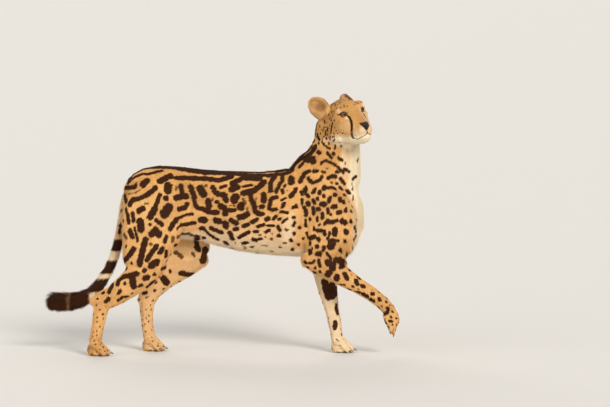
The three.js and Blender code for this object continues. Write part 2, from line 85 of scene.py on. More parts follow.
# The head has its own millimetres: x forward, y to its left, z up.
HEAD_AT = ZERO + Vector((0.409, -0.004, 0.940))
HEAD_TURN = math.radians(-57)
HEAD_LIFT = math.radians(12)
HEAD_TILT = math.radians(10)
HEAD_SCALE = 1.16
HEAD = (
    Matrix.Translation(HEAD_AT)
    @ Matrix.Rotation(HEAD_TURN, 4, "Z")
    @ Matrix.Rotation(-HEAD_LIFT, 4, "Y")
    @ Matrix.Rotation(HEAD_TILT, 4, "X")
    @ Matrix.Scale(HEAD_SCALE * MM, 4)
)
LIFTED_DROOP = math.radians(68)  # how far the lifted forepaw hangs
EYE_PLACE = (90.5, 34.5, 30.5)
EYE_RADIUS = 16.5
EAR_LEAN = {"right": (0.5, -0.12), "left": (0.82, -0.55)}  # outwards, and laid back
EAR_MIDDLE = (0, 0, 34)  # in the ear's own millimetres
EYE_OUTWARD = (0.85, 0.50, -0.20)
EYE_SLANT = math.radians(14)
EYE_CORNER = math.radians(54)  # from the middle of the lids' opening to each corner
EYE_SHIFT = 0.06  # how far that middle lies towards the outer corner, in radians
UPPER_LID = math.radians(27)
LOWER_LID = math.radians(24)
LID_THICKNESS = 1.6

# How the coat lies in each part: depth and length of the hair in millimetres, the tufts'
# width, how steeply they lift, and the way they point.
LIE = {
    "trunk": (2.6, 12.5, 2.6, 0.12, (-1, 0, -0.25)),
    "neck": (3.2, 11.5, 2.2, 0.15, (-0.45, 0, -1)),
    "head": (1.3, 6, 1.2, 0.12, None),
    "tail": (4.0, 17, 2.4, 0.18, (-0.75, 0, -1)),
    "right_ear": (0.8, 7, 1.3, 0.10, None),
    "left_ear": (0.8, 7, 1.3, 0.10, None),
    "right_foreleg": (1.8, 11, 2.1, 0.10, (0.35, 0, -1)),
    "left_foreleg": (1.8, 11, 2.1, 0.10, (0, 0, -1)),
    "right_hind_leg": (2.2, 12, 2.3, 0.10, (-0.3, 0, -1)),
    "left_hind_leg": (2.2, 12, 2.3, 0.10, (-0.1, 0, -1)),
}
PAW_LIE = (1.2, 6, 1.5, 0.08)

# The markings. Each row is one stroke: its width, then the x and z of the points along its
# middle line, in millimetres, seen from the figure's right side.
RUMP_MARKS = (
    (11, -460, 700, -430, 728, -400, 738, -370, 740, -350, 745, -320, 752), (28, -398, 696, -384, 711),
    (17, -470, 683, -432, 684), (12, -433, 688, -429, 697),
    (20, -452, 613, -445, 630, -420, 636, -400, 644, -375, 656, -346, 682), (16, -472, 650, -467, 625),
    (16, -330, 653, -340, 620, -350, 594), (27, -352, 590, -368, 563), (32, -295, 671, -295, 688),
    (20, -306, 638, -301, 639), (20, -242, 690, -238, 663), (24, -263, 640, -230, 649, -220, 646),
    (18, -216, 615, -223, 601, -250, 593), (19, -203, 688, -193, 660, -187, 640),
    (17, -185, 625, -183, 610, -170, 599, -145, 593, -130, 586), (38, -310, 576, -292, 600),
    (22, -415, 586, -399, 596), (15, -468, 595, -462, 570, -456, 540), (15, -440, 578, -438, 546),
    (31, -409, 542, -407, 513), (16, -343, 547, -320, 531), (11, -195, 573, -220, 570, -250, 558),
    (20, -260, 550, -272, 536, -285, 514), (15, -185, 535, -220, 531, -240, 530),
    (9, -240, 530, -256, 514), (28, -360, 492, -346, 507, -333, 490), (20, -452, 505, -442, 480),
    (10, -433, 517, -425, 490, -420, 465), (23, -387, 468, -396, 440, -402, 410, -410, 383, -412, 368),
    (20, -342, 440, -363, 412, -380, 387), (19, -328, 416, -317, 431), (16, -302, 480, -308, 460),
    (15, -302, 418, -302, 397), (21, -436, 430, -455, 403, -476, 384), (12, -490, 530, -493, 500),
)
FLANK_MARKS = (
    (26, -326, 710, -306, 722, -284, 730),
    (20, -260, 723, -200, 722, -130, 719, -90, 713, -60, 720, -36, 729), (30, -163, 679, -150, 656),
    (23, -131, 628, -127, 606), (19, -146, 590, -125, 580, -94, 580),
    (21, -113, 684, -100, 662, -85, 654, -65, 653, -58, 630), (14, -80, 683, -59, 690),
    (16, -98, 624, -93, 624), (23, -80, 606, -65, 600, -60, 575), (17, -60, 589, -25, 589),
    (33, -24, 633, -19, 643), (30, 2, 602, 4, 610), (23, -32, 700, -16, 709, 4, 719),
    (20, 10, 723, 50, 720, 85, 718), (28, -32, 676, -13, 685), (11, 15, 688, 49, 693),
    (24, 98, 706, 80, 687, 55, 670, 35, 666, 14, 660),
    (19, 40, 660, 46, 635, 58, 610, 62, 586, 72, 576, 90, 573), (21, 97, 654, 98, 628),
    (20, 88, 603, 92, 603), (22, -5, 560, 15, 563, 30, 574),
    (15, 150, 643, 130, 638, 122, 620, 120, 597, 132, 590, 146, 593),
    (19, 149, 740, 133, 716, 124, 700, 125, 669), (15, 173, 735, 172, 710, 158, 690, 150, 666),
    (12, 184, 693, 183, 688), (12, 172, 673, 175, 661), (8, 185, 640, 170, 630),
    (14, 182, 617, 173, 604), (11, 165, 580, 180, 583, 193, 579), (27, -160, 549, -146, 549),
    (27, -98, 547, -88, 544), (26, -61, 533, -59, 522), (20, -37, 547, -15, 536),
    (18, -22, 512, -13, 512), (16, 16, 522, 33, 530), (18, 50, 540, 68, 552), (13, 72, 522, 95, 530),
    (19, 108, 552, 115, 556), (12, 148, 565, 137, 552), (12, 160, 553, 164, 553),
    (9, 194, 555, 179, 545, 175, 537), (10, 110, 526, 138, 525), (14, 156, 523, 162, 508),
    (12, 58, 501, 72, 502), (13, 107, 500, 118, 506), (15, -3, 476, 15, 486, 35, 498),
    (20, -42, 494, -32, 473), (16, -120, 515, -100, 507, -75, 496), (18, -159, 514, -150, 513),
    (11, -146, 508, -125, 490, -110, 478, -96, 471, -88, 468), (15, -63, 458, -53, 452),
    (14, 12, 453, 30, 457), (16, 54, 469, 65, 467), (11, 79, 470, 86, 470), (15, 158, 484, 161, 484),
    (14, 209, 466, 212, 463),
)
SHOULDER_MARKS = (
    (22, 230, 790, 222, 770, 215, 752), (26, 210, 720, 210, 705), (14, 256, 781, 243, 767),
    (17, 281, 749, 263, 740, 253, 725, 245, 708), (13, 303, 750, 316, 751), (10, 335, 749, 346, 744),
    (14, 280, 720, 288, 708, 300, 703, 315, 708, 330, 717, 335, 726),
    (15, 363, 721, 375, 730, 393, 726), (13, 413, 718, 429, 699), (10, 395, 747, 405, 745),
    (7, 373, 704, 378, 703), (9, 396, 699, 400, 697), (16, 347, 684, 343, 677),
    (12, 360, 681, 380, 683, 392, 678), (12, 410, 683, 420, 675), (12, 438, 670, 450, 658),
    (9, 427, 653, 433, 650), (17, 229, 675, 220, 660, 208, 647), (18, 268, 680, 267, 670),
    (14, 309, 674, 299, 662), (14, 327, 666, 326, 659), (12, 252, 665, 256, 655),
    (14, 270, 656, 280, 647), (12, 344, 650, 344, 646), (13, 385, 652, 391, 654),
    (15, 369, 640, 364, 625), (15, 409, 637, 411, 627), (15, 426, 625, 428, 621),
    (13, 319, 638, 319, 634), (15, 305, 620, 300, 630), (20, 279, 618, 281, 616),
    (21, 335, 614, 345, 614), (21, 383, 604, 390, 604), (10, 255, 635, 255, 615),
    (14, 219, 600, 225, 602), (8, 229, 613, 236, 601), (14, 263, 600, 270, 585, 272, 568),
    (15, 300, 597, 301, 575), (17, 319, 594, 322, 592), (13, 360, 592, 360, 579),
    (12, 436, 596, 434, 586), (20, 404, 579, 409, 581), (10, 458, 584, 460, 582),
    (14, 339, 576, 337, 556), (9, 372, 574, 372, 572), (11, 287, 556, 287, 552),
    (11, 318, 559, 317, 546), (12, 225, 538, 220, 528), (12, 220, 560, 224, 559),
    (10, 269, 550, 270, 520), (8, 328, 533, 324, 528), (12, 346, 532, 356, 544),
    (18, 360, 544, 380, 540), (12, 390, 542, 399, 547), (22, 420, 545, 430, 538),
    (12, 456, 546, 456, 541), (10, 304, 520, 305, 510), (14, 315, 507, 330, 505, 344, 503, 347, 490),
    (22, 389, 508, 388, 493), (8, 368, 500, 364, 480, 358, 470), (21, 434, 502, 436, 498),
    (12, 275, 495, 279, 478), (20, 290, 475, 302, 480), (15, 320, 473, 323, 466),
    (32, 377, 458, 373, 442), (12, 388, 462, 404, 465), (11, 287, 456, 287, 450),
    (8, 296, 432, 296, 429), (16, 314, 440, 318, 439), (16, 285, 423, 288, 414),
    (14, 345, 438, 342, 426), (12, 436, 424, 436, 414),
)
FORELEG_MARKS = (
    (20, 318, 410, 328, 410), (10, 357, 412, 365, 403, 375, 390),
    (9, 265, 380, 270, 372, 295, 373, 305, 383), (10, 278, 355, 278, 353), (11, 308, 354, 308, 352),
    (13, 324, 385, 326, 360), (10, 329, 336, 329, 334), (27, 360, 374, 380, 365, 380, 353),
    (24, 395, 387, 419, 387), (14, 410, 375, 425, 363, 411, 354), (25, 359, 324, 366, 332),
    (22, 396, 306, 399, 319), (19, 430, 328, 439, 310), (9, 480, 317, 495, 308),
    (19, 477, 300, 480, 289), (14, 500, 280, 510, 275), (8, 412, 284, 430, 282),
    (8, 461, 276, 465, 276), (8, 440, 266, 453, 262), (9, 473, 256, 493, 251), (16, 503, 244, 520, 235),
    (16, 542, 247, 545, 246), (16, 536, 221, 546, 218), (14, 570, 227, 574, 220),
    (14, 563, 191, 567, 189), (13, 605, 187, 606, 170, 595, 163, 588, 166), (6, 570, 254, 572, 253),
    (6, 600, 215, 603, 210), (6, 614, 200, 616, 199), (7, 624, 175, 628, 172), (7, 640, 148, 642, 147),
    (7, 616, 153, 619, 151), (8, 612, 135, 623, 133), (7, 625, 121, 625, 119), (6, 600, 125, 602, 124),
    (7, 577, 153, 577, 151),
)
# Inside the far foreleg: its own dark bands near the elbow, with painted shade filling out the dark
# patch at the top of the leg.
INNER_FORELEG_MARKS_AND_SHADE = (
    (30, 347, 296, 352, 280), (36, 353, 273, 361, 250, 364, 238), (12, 396, 275, 397, 245),
    (9, 394, 237, 380, 230), (26, 380, 286, 384, 262), (16, 384, 254, 391, 243),
    (10, 320, 257, 322, 247), (16, 396, 200, 398, 180, 401, 168), (19, 391, 128, 389, 108),
)
HOCK_MARKS = (
    (29, -363, 362, -342, 375), (13, -320, 346, -310, 355), (10, -288, 342, -286, 338),
    (20, -391, 310, -378, 314), (28, -314, 309, -301, 293),
    (21, -503, 289, -500, 304, -480, 317, -463, 320, -444, 321, -424, 329),
    (26, -440, 310, -440, 286, -436, 277), (12, -412, 278, -403, 282),
    (12, -380, 273, -368, 285, -350, 298), (14, -396, 250, -385, 253), (14, -498, 249, -492, 259),
    (11, -500, 220, -480, 232, -460, 235), (16, -525, 285, -538, 255), (17, -539, 226, -548, 216),
)
INNER_HIND_MARKS = (
    (20, -175, 480, -178, 440, -170, 427), (31, -141, 426, -144, 400, -150, 382),
    (23, -240, 330, -210, 325, -180, 321), (7, -250, 295, -230, 295),
)
NECK_MARKS = (
    (27, 270, 798, 297, 799, 300, 790), (15, 318, 830, 326, 824), (11, 357, 827, 366, 813, 375, 805),
    (12, 382, 822, 384, 818), (11, 404, 804, 420, 793),
    (10, 331, 777, 334, 787, 350, 793, 370, 785, 390, 775, 405, 762, 425, 743),
    (12, 429, 757, 449, 748), (11, 463, 718, 476, 727), (10, 316, 902, 319, 890, 324, 878),
    (9, 320, 866, 322, 864), (7, 336, 868, 345, 857, 356, 848, 368, 842),
)
# Faint strokes, laid at lower strength. The first row is painted shade: a soft dark arc on the far hind
# leg's top, under the near thigh and groin.
FAINT_MARKS_AND_SHADE = (
    (14, -255, 478, -235, 492, -205, 492, -182, 478), (7, -460, 658, -430, 660, -410, 672),
    (6, -262, 690, -262, 670), (12, -142, 690, -138, 690), (10, -390, 617, -380, 616),
    (10, -488, 592, -488, 586), (11, -480, 547, -480, 543), (16, -475, 490, -468, 476),
    (17, -158, 513, -152, 513), (12, -368, 452, -362, 448), (15, -275, 476, -275, 462),
    (9, -112, 640, -114, 630), (9, -40, 609, -25, 609), (11, 12, 635, 23, 618), (9, 29, 597, 29, 593),
    (7, 68, 640, 63, 632), (7, 192, 670, 194, 670), (19, -263, 415, -240, 399),
    (15, -195, 412, -190, 404), (14, 188, 509, 192, 507), (9, 81, 487, 85, 487),
    (7, 130, 492, 134, 492), (12, -38, 438, -23, 432), (8, -20, 455, -20, 452), (10, 18, 440, 23, 433),
    (6, 102, 479, 104, 479), (12, 128, 471, 132, 469), (8, 90, 445, 110, 443), (12, 182, 455, 186, 454),
    (11, 162, 438, 166, 437), (10, 55, 410, 75, 416), (9, -20, 420, -10, 415), (5, 120, 422, 135, 422),
    (7, 448, 628, 448, 622), (10, 475, 485, 470, 473), (7, 465, 650, 463, 630), (6, 460, 700, 463, 670),
    (7, 458, 326, 458, 324), (7, 482, 266, 488, 264), (6, 540, 264, 542, 262), (9, 575, 107, 575, 103),
    (13, 357, 120, 358, 96), (8, -378, 235, -385, 230), (7, 355, 761, 359, 759),
    (8, 432, 784, 432, 776), (10, 486, 800, 484, 790),
)
FACE_MARKS = (
    (8, 379, 948, 375, 934), (10, 374, 927, 373, 918, 372, 907), (8, 359, 926, 357, 918),
    (7, 350, 915, 350, 898), (4, 341, 920, 340, 912), (7, 345, 957, 346, 955), (4, 343, 950, 352, 948),
    (7, 386, 959, 387, 956), (6, 373, 1026, 374, 1016), (7, 371, 892, 368, 880),
    (7, 387, 880, 381, 868), (7, 363, 866, 364, 860), (7, 353, 887, 355, 881), (6, 385, 893, 385, 889),
    (7, 390, 855, 391, 849), (6, 357, 902, 358, 897), (6, 344, 930, 343, 926), (5, 326, 936, 327, 930),
    (5, 330, 908, 329, 902), (5, 337, 884, 338, 878), (6, 321, 972, 322, 957),
    (5, 427, 1021, 428, 1013), (6, 347, 1014, 348, 1004), (5, 360, 1003, 360, 994),
    (5, 350, 990, 351, 983), (5, 363, 984, 362, 976), (5, 375, 996, 374, 989), (5, 372, 974, 372, 967),
    (5, 361, 1020, 363, 1014), (5, 412, 1032, 404, 1031), (6.5, 396, 979, 403, 982),
    (5, 384, 985, 386, 996), (4, 394, 1005, 398, 1012), (4, 410, 1008, 414, 1013),
    (4, 440, 1014, 441, 1019), (4, 388, 1020, 391, 1026), (5, 394, 915, 393, 914),
    (5, 399, 904, 400, 903), (4, 383, 907, 383, 905), (3, 416, 903, 424, 904), (3, 404, 920, 404, 919),
    (3, 414, 919, 414, 918), (3, 424, 917, 424, 916), (3, 411, 910, 411, 909), (3, 422, 908, 422, 907),
    (3, 407, 895, 407, 894), (3, 430, 902, 430, 901),
)
TEAR_MARKS = (
    (9, 441, 980, 446, 975, 451, 967, 455, 957), (10.5, 455, 957, 458, 940, 458, 925),
    (9.5, 458, 925, 457, 911, 458.5, 898, 463, 886),
)
BACK_MARKS = (
    (17, -462, 706, -440, 736, -410, 755, -380, 763, -330, 765, -260, 762),
    (29, -250, 760, -200, 752, -140, 745, -50, 741, 0, 738, 50, 735, 120, 735, 155, 738),
    (24, 165, 738, 200, 745, 215, 765, 240, 790, 262, 808, 285, 822, 300, 838, 306, 850),
    (13, 299, 832, 300, 845, 297, 857), (18, 301, 876, 301, 874),
    (20, 304, 905, 306, 922, 304, 936, 302, 950),
)

# Soft hollows between the muscles: width, depth, then points as above.
HOLLOWS = (
    (50, 4.0, 262, 720, 255, 620, 268, 520), (40, 3.0, 330, 745, 400, 670, 440, 590),
    (60, 4.0, -190, 700, -215, 610, -195, 520), (36, 2.5, -400, 660, -360, 560, -345, 470),
    (30, 3.0, 300, 500, 345, 455, 400, 470), (26, 3.0, -455, 375, -505, 300, -530, 250),
    (30, 2.5, -300, 500, -270, 420, -290, 350), (24, 2.0, 330, 430, 350, 370, 380, 340),
)
RIBS = (150, 115, 80, 45, 10, -25, -60)  # x of each rib's upper end

TAIL_RINGS = ((447, 24), (356, 27), (281, 27))  # height and half width of the dark rings
TAIL_TIP = -612  # x where the dark tip begins
TAIL_GREY = -702  # x of the thin grey ring in it

# The lips' line in the head's millimetres: its width, then x, y and z of points on the right side.
LIPS = (
    (2, 156, 0, -43, 152, 0, -53),
    (
        2, 152, 0, -53, 151, -8, -57.5, 147, -19.6, -61, 136, -25.6, -64, 124, -30.7, -65.4,
        115, -38, -58,
    ),
)


# ---------- settings ----------
class CheetahStage(bpy.types.PropertyGroup):
    target: FloatVectorProperty(
        name="Target", description="The point the camera looks at", subtype="XYZ",
        unit="LENGTH", default=(0.332, 0.0266, 0.617),
    )
    distance: FloatProperty(
        name="Distance", description="How far the camera stands off", unit="LENGTH", default=14.0
    )
    elevation: FloatProperty(
        name="Elevation", description="How far the camera looks down", subtype="ANGLE",
        default=math.radians(5),
    )
    lens: FloatProperty(
        name="Lens", description="Focal length in millimetres", unit="CAMERA", default=201.5
    )
    floor_colour: FloatVectorProperty(
        name="Floor", description="Colour of the floor and the backdrop", subtype="COLOR",
        default=(0.74, 0.72, 0.69),
    )


class CheetahSkin(bpy.types.PropertyGroup):
    grain: FloatProperty(
        name="Grain", description="Edge length of the skin's faces", unit="LENGTH", default=0.00605
    )
    evening: IntProperty(
        name="Evening", description="Rounds that smooth the joins between the solids", default=10
    )


class CheetahCoat(bpy.types.PropertyGroup):
    tufts: IntProperty(name="Tufts", description="Tufts of hair on the whole figure", default=196000)
    long_tufts: IntProperty(name="Long tufts", description="Tufts of longer hair", default=26000)
    tawny: FloatVectorProperty(
        name="Tawny", description="Ground colour of the coat", subtype="COLOR",
        default=(0.79, 0.435, 0.148),
    )
    pale: FloatVectorProperty(
        name="Pale", description="Colour of the belly, throat and chin", subtype="COLOR",
        default=(0.95, 0.82, 0.59),
    )
    dark: FloatVectorProperty(
        name="Dark", description="Colour of the stripes and spots", subtype="COLOR",
        default=(0.030, 0.0105, 0.0038),
    )
    brown: FloatVectorProperty(
        name="Brown", description="Colour at the edges of the marks", subtype="COLOR",
        default=(0.19, 0.080, 0.028),
    )


class CheetahEyes(bpy.types.PropertyGroup):
    iris: FloatVectorProperty(
        name="Iris", description="Colour of the iris", subtype="COLOR", default=(0.17, 0.062, 0.012)
    )
    pupil: FloatProperty(
        name="Pupil", description="Half angle of the pupil", subtype="ANGLE",
        default=math.radians(15),
    )


# ---------- arrays and small helpers ----------
def smooth(low, high, value):
    """0 below low, 1 above high and a soft step between them."""
    t = np.clip((value - low) / (high - low), 0, 1)
    return t * t * (3 - 2 * t)


def unit(rows):
    """Rows scaled to a length of 1."""
    return rows / np.maximum(np.linalg.norm(rows, axis=-1, keepdims=True), 1e-12)


def carried(matrix, points):
    """Rows of points, or one point, taken through a matrix."""
    m = np.array(matrix)
    return np.asarray(points) @ m[:3, :3].T + m[:3, 3]


def turned(matrix, direction):
    """A direction, or rows of them, turned by a matrix."""
    return unit(np.asarray(direction, float) @ np.array(matrix)[:3, :3].T)


def read(mesh):
    """A mesh's points and triangles as arrays."""
    mesh.calc_loop_triangles()
    points = np.empty(len(mesh.vertices) * 3)
    mesh.vertices.foreach_get("co", points)
    triangles = np.empty(len(mesh.loop_triangles) * 3, np.int32)
    mesh.loop_triangles.foreach_get("vertices", triangles)
    return points.reshape(-1, 3), triangles.reshape(-1, 3)


def write_points(mesh, points):
    mesh.vertices.foreach_set("co", points.astype(np.float32).ravel())
    mesh.update()


def normals_of(mesh):
    normals = np.empty(len(mesh.vertices) * 3, np.float32)
    mesh.vertex_normals.foreach_get("vector", normals)
    return normals.reshape(-1, 3).astype(float)


def edges_of(mesh):
    edges = np.empty(len(mesh.edges) * 2, np.int32)
    mesh.edges.foreach_get("vertices", edges)
    return edges.reshape(-1, 2)


def spread(values, edges, rounds, share=0.5):
    """Values, one row a point, evened out along the edges. share may be one number a point."""
    size = len(values)
    count = np.maximum(np.bincount(edges.ravel(), minlength=size), 1)[:, None]
    for _ in range(rounds):
        around = np.column_stack(
            [
                np.bincount(edges[:, 0], column[edges[:, 1]], size)
                + np.bincount(edges[:, 1], column[edges[:, 0]], size)
                for column in values.T
            ]
        )
        values = values + share * (around / count - values)
    return values


def evened(points, edges, rounds, share=1.0):
    """Points smoothed without shrinking the shape."""
    for _ in range(rounds):
        points = spread(points, edges, 1, 0.55 * share)
        points = spread(points, edges, 1, -0.57 * share)
    return points


def only(thing):
    """Selects one object and makes it active."""
    for other in bpy.context.view_layer.objects:
        other.select_set(other == thing)
    bpy.context.view_layer.objects.active = thing


def edit(thing, chosen, *steps):
    """Runs edit-mode steps on the chosen faces of an object."""
    only(thing)
    faces = thing.data.polygons
    thing.data.vertices.foreach_set("select", np.zeros(len(thing.data.vertices), bool))
    thing.data.edges.foreach_set("select", np.zeros(len(thing.data.edges), bool))
    faces.foreach_set("select", np.asarray(chosen, bool))
    bpy.ops.object.mode_set(mode="EDIT")
    bpy.ops.mesh.select_mode(type="FACE")
    for step in steps:
        step()
    bpy.ops.object.mode_set(mode="OBJECT")


def remember(mesh, name, values):
    """Stores one value a point on the mesh."""
    layer = mesh.attributes.new(name, "FLOAT", "POINT")
    layer.data.foreach_set("value", np.asarray(values, np.float32))


def recall(mesh, name):
    values = np.empty(len(mesh.vertices), np.float32)
    mesh.attributes[name].data.foreach_get("value", values)
    return values.astype(float)


def side_of(name):
    """-1 for a piece on the right and 1 for one on the left, by the start of its name."""
    return SIDES[name.split("_")[0]]


def new_mesh(name, points, faces, material):
    """An object with flat faces, from arrays of points and of faces with equal numbers of corners."""
    mesh = bpy.data.meshes.new(name)
    corners = faces.shape[1]
    mesh.vertices.add(len(points))
    mesh.loops.add(faces.size)
    mesh.polygons.add(len(faces))
    mesh.vertices.foreach_set("co", points.astype(np.float32).ravel())
    mesh.loops.foreach_set("vertex_index", faces.astype(np.int32).ravel())
    mesh.polygons.foreach_set("loop_start", np.arange(len(faces), dtype=np.int32) * corners)
    mesh.update(calc_edges=True)
    mesh.polygons.foreach_set("use_smooth", np.zeros(len(faces), bool))
    mesh.materials.append(material)
    thing = bpy.data.objects.new(name, mesh)
    bpy.context.scene.collection.objects.link(thing)
    return thing


def finished(thing, slot, *nodes):
    """The piece rides on the figure and stands for its solids, which are hidden. slot is not used."""
    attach(thing, "root")
    if nodes:
        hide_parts(*nodes)
    return thing


# ---------- the pattern laid on the surface ----------
def view_axes():
    """The point the pattern is laid on from, the point it looks at, and its up direction."""
    stage = bpy.context.scene.cheetah_stage
    target = Vector(stage.target)
    away = Vector((0, -math.cos(stage.elevation), math.sin(stage.elevation)))
    up = Vector((0, math.sin(stage.elevation), math.cos(stage.elevation)))
    return target + away * stage.distance, target, up


def laid(tree, x, z, side="right"):
    """Where a pattern point falls on the surface, or None."""
    eye, target, up = view_axes()
    point = target + Vector((ZERO.x + x * MM - target.x, 0, 0)) + up * (z * MM - target.z)
    if side == "left":
        eye.y = 2 * ZERO.y - eye.y
        point.y = 2 * ZERO.y - point.y
    return tree.ray_cast(eye, (point - eye).normalized())[0]


def laid_over(tree, x, z, side="right"):
    """Where a pattern point falls, or the place nearest to it if it lies just past the outline."""
    hit = laid(tree, x, z, side)
    if hit:
        return hit
    sign = SIDES[side]
    point = ZERO + Vector((x * MM, sign * 12 * MM, z * MM))
    return tree.find_nearest(point, 60 * MM)[0]


def stroke_points(row, step=3.0):
    """Closely spaced x and z along a stroke's middle line."""
    pairs = np.array(row, float).reshape(-1, 2)
    out = []
    for a, b in zip(pairs[:-1], pairs[1:]):
        parts = max(1, int(np.ceil(np.linalg.norm(b - a) / step)))
        out += [a + (b - a) * k / parts for k in range(parts)]
    return np.array(out + [pairs[-1]])


class Trail:
    """Balls along strokes on the surface: centres, radii in metres, and strengths."""

    def __init__(self):
        self.centres, self.radii, self.strengths = [], [], []

    def add(self, centre, radius, strength=1.0):
        self.centres.append(tuple(centre))
        self.radii.append(radius)
        self.strengths.append(strength)

    def lay(self, tree, rows, side="right", strength=1.0, shift=(0, 0), widen=0.0, past=laid):
        for width, *row in rows:
            for x, z in stroke_points(row):
                hit = past(tree, x + shift[0], z + shift[1], side)
                if hit:
                    self.add(hit, (width / 2 + widen) * MM, strength)

    def arrays(self):
        return np.array(self.centres), np.array(self.radii), np.array(self.strengths)

    def cover(self, points, soft=1.6 * MM):
        """How much of a mark covers each point, from 0 to 1."""
        ink = np.zeros(len(points))
        order = np.argsort(points[:, 0])
        sorted_x = points[order, 0]
        for centre, radius, strength in zip(*self.arrays()):
            far = radius + soft
            low, high = np.searchsorted(sorted_x, (centre[0] - far, centre[0] + far))
            near = order[low:high]
            gap = np.linalg.norm(points[near] - centre, axis=1) - radius
            hit = strength * smooth(soft / 2, -soft / 2, gap)
            ink[near] = np.maximum(ink[near], hit)
        return ink

    def gap(self, points, reach):
        """Distance from each point to the nearest ball, up to reach."""
        gaps = np.full(len(points), reach)
        order = np.argsort(points[:, 0])
        sorted_x = points[order, 0]
        for centre, radius, _ in zip(*self.arrays()):
            far = radius + reach
            low, high = np.searchsorted(sorted_x, (centre[0] - far, centre[0] + far))
            near = order[low:high]
            gap = np.linalg.norm(points[near] - centre, axis=1) - radius
            gaps[near] = np.minimum(gaps[near], gap)
        return gaps


# ---------- the skin ----------
def near_parts(points):
    """For each point, the place in FLESH of the solid nearest to it. An eye counts as head."""
    rows, faces, owner = [], [], []
    start = 0
    for index, name in enumerate(FLESH + ("right_eye", "left_eye")):
        part, triangles = read(frame["nodes"][name].data)
        rows.append(part)
        faces.append(triangles + start)
        owner += [index if index < len(FLESH) else FLESH.index("head")] * len(triangles)
        start += len(part)
    tree = BVHTree.FromPolygons(np.concatenate(rows).tolist(), np.concatenate(faces).tolist())
    return np.array([owner[tree.find_nearest(p)[2]] for p in points])


def shell(grain):
    """All the flesh joined into one closed surface of even faces."""
    copies = []
    for name in FLESH + ("right_eye", "left_eye"):
        thing = frame["nodes"][name].copy()
        thing.data = thing.data.copy()
        thing.parent = None
        bpy.context.scene.collection.objects.link(thing)
        everything = [True] * len(thing.data.polygons)
        edit(thing, everything, lambda: bpy.ops.mesh.remove_doubles(threshold=1e-5))
        swell = thing.modifiers.new("swell", "DISPLACE")
        swell.strength = 0.0006
        swell.mid_level = 0
        only(thing)
        bpy.ops.object.modifier_apply(modifier="swell")
        copies.append(thing)
    only(copies[0])
    for thing in copies:
        thing.select_set(True)
    bpy.ops.object.join()
    skin = bpy.context.view_layer.objects.active
    skin.data.remesh_voxel_size = grain
    skin.data.remesh_voxel_adaptivity = 0
    bpy.ops.object.voxel_remesh()
    for key in list(skin.keys()):
        del skin[key]
    skin.name = skin.data.name = "skin"
    return skin


def finer(skin, chosen):
    """Divides in four each face whose middle is chosen."""
    middles = np.array([face.center for face in skin.data.polygons])
    edit(skin, chosen(middles), lambda: bpy.ops.mesh.subdivide(number_cuts=1, quadcorner="INNERVERT"))


def in_head(points):
    """Points in the head's own millimetres."""
    return carried(HEAD.inverted(), points)


def eye_frame(side):
    """Centre of an eye and its outward, outer-corner and upward directions, in head space."""
    sign = SIDES[side]
    centre = np.array((EYE_PLACE[0], sign * EYE_PLACE[1], EYE_PLACE[2]), float)
    outward = unit(np.array((EYE_OUTWARD[0], sign * EYE_OUTWARD[1], EYE_OUTWARD[2])))
    corner = unit(np.cross((0, 0, 1), outward) * sign)
    up = unit(np.cross(outward, corner) * sign)
    tilt = math.cos(EYE_SLANT), math.sin(EYE_SLANT)
    return centre, outward, tilt[0] * corner + tilt[1] * up, tilt[0] * up - tilt[1] * corner


def lid_angles(local, side):
    """Angle up from an eye's middle, the lid's edge there, how far past a corner, and if behind."""
    centre, outward, corner, up = eye_frame(side)
    ray = unit(local - centre)
    across = np.arctan2(ray @ corner, ray @ outward)
    high = np.arctan2(ray @ up, np.hypot(ray @ outward, ray @ corner))
    past = np.abs(across - EYE_SHIFT) - EYE_CORNER
    arch = np.maximum(1 - np.abs((across - EYE_SHIFT) / EYE_CORNER) ** 1.6, 0.02)
    bound = np.where(high > 0, UPPER_LID * arch**0.75, LOWER_LID * arch)
    return high, bound, np.maximum(past, 0), ray @ outward < 0


def lid_gap(local, side):
    """Millimetres over the eyeball from the lids' edge: negative in the opening."""
    high, bound, past, behind = lid_angles(local, side)
    over = np.abs(high) - np.where(past > 0, 0, bound)
    gap = np.where(past > 0, np.hypot(past, high), over) * EYE_RADIUS
    return np.where(behind, 30, gap)


def shape_lids(local):
    """The eyelids: an almond opening over each ball, with a rounded edge and a fold above."""
    for side in SIDES:
        centre = eye_frame(side)[0]
        away = local - centre
        reach = np.linalg.norm(away, axis=1)
        near = np.flatnonzero(reach < EYE_RADIUS * 2.0)
        gap = lid_gap(local[near], side)
        ray = away[near] / reach[near, None]
        lid = EYE_RADIUS + LID_THICKNESS
        far = np.maximum(reach[near], lid)
        fold = 0.9 * np.exp(-(((gap - 5.5) / 1.2) ** 2))
        outside = lid + (far - lid) * smooth(1.8, 6.0, gap) - fold
        target = np.where(gap < 0, EYE_RADIUS - 2.0, outside)
        fade = smooth(EYE_RADIUS * 2.0, EYE_RADIUS * 1.5, reach[near])
        radius = reach[near] + (target - reach[near]) * np.where(gap < 12, fade, 0)
        radius = np.where(gap >= 0, np.maximum(radius, EYE_RADIUS + 1.0), radius)
        local[near] = centre + ray * radius[:, None]
    return local


def ear_matrix(side):
    """An ear's own millimetres: x the way it opens, z up to its tip."""
    lean, back = EAR_LEAN[side]
    place = Matrix.Translation((6, SIDES[side] * 55, 54))
    turn = Matrix.Rotation(SIDES[side] * 0.5, 4, "Z") @ Matrix.Rotation(back, 4, "Y")
    return HEAD @ place @ turn @ Matrix.Rotation(-SIDES[side] * lean, 4, "X")


def shape_ears(points, normals, weights):
    """Hollows the ears' fronts, deepest low down, and leaves a thin rim."""
    for side in SIDES:
        matrix = ear_matrix(side)
        x, y, z = carried(matrix.inverted(), points).T
        open_side = smooth(0.1, 0.5, normals @ turned(matrix, (1, 0, 0)))
        inner = smooth(1.0, 0.45, np.hypot(y / 27, (z - 33) / 31))
        depth = 8.0 * inner * open_side * weights[:, FLESH.index(side + "_ear")] * smooth(-8, -2, x)
        points = points - turned(matrix, (1, 0, 0)) * (depth * MM)[:, None]
    return points


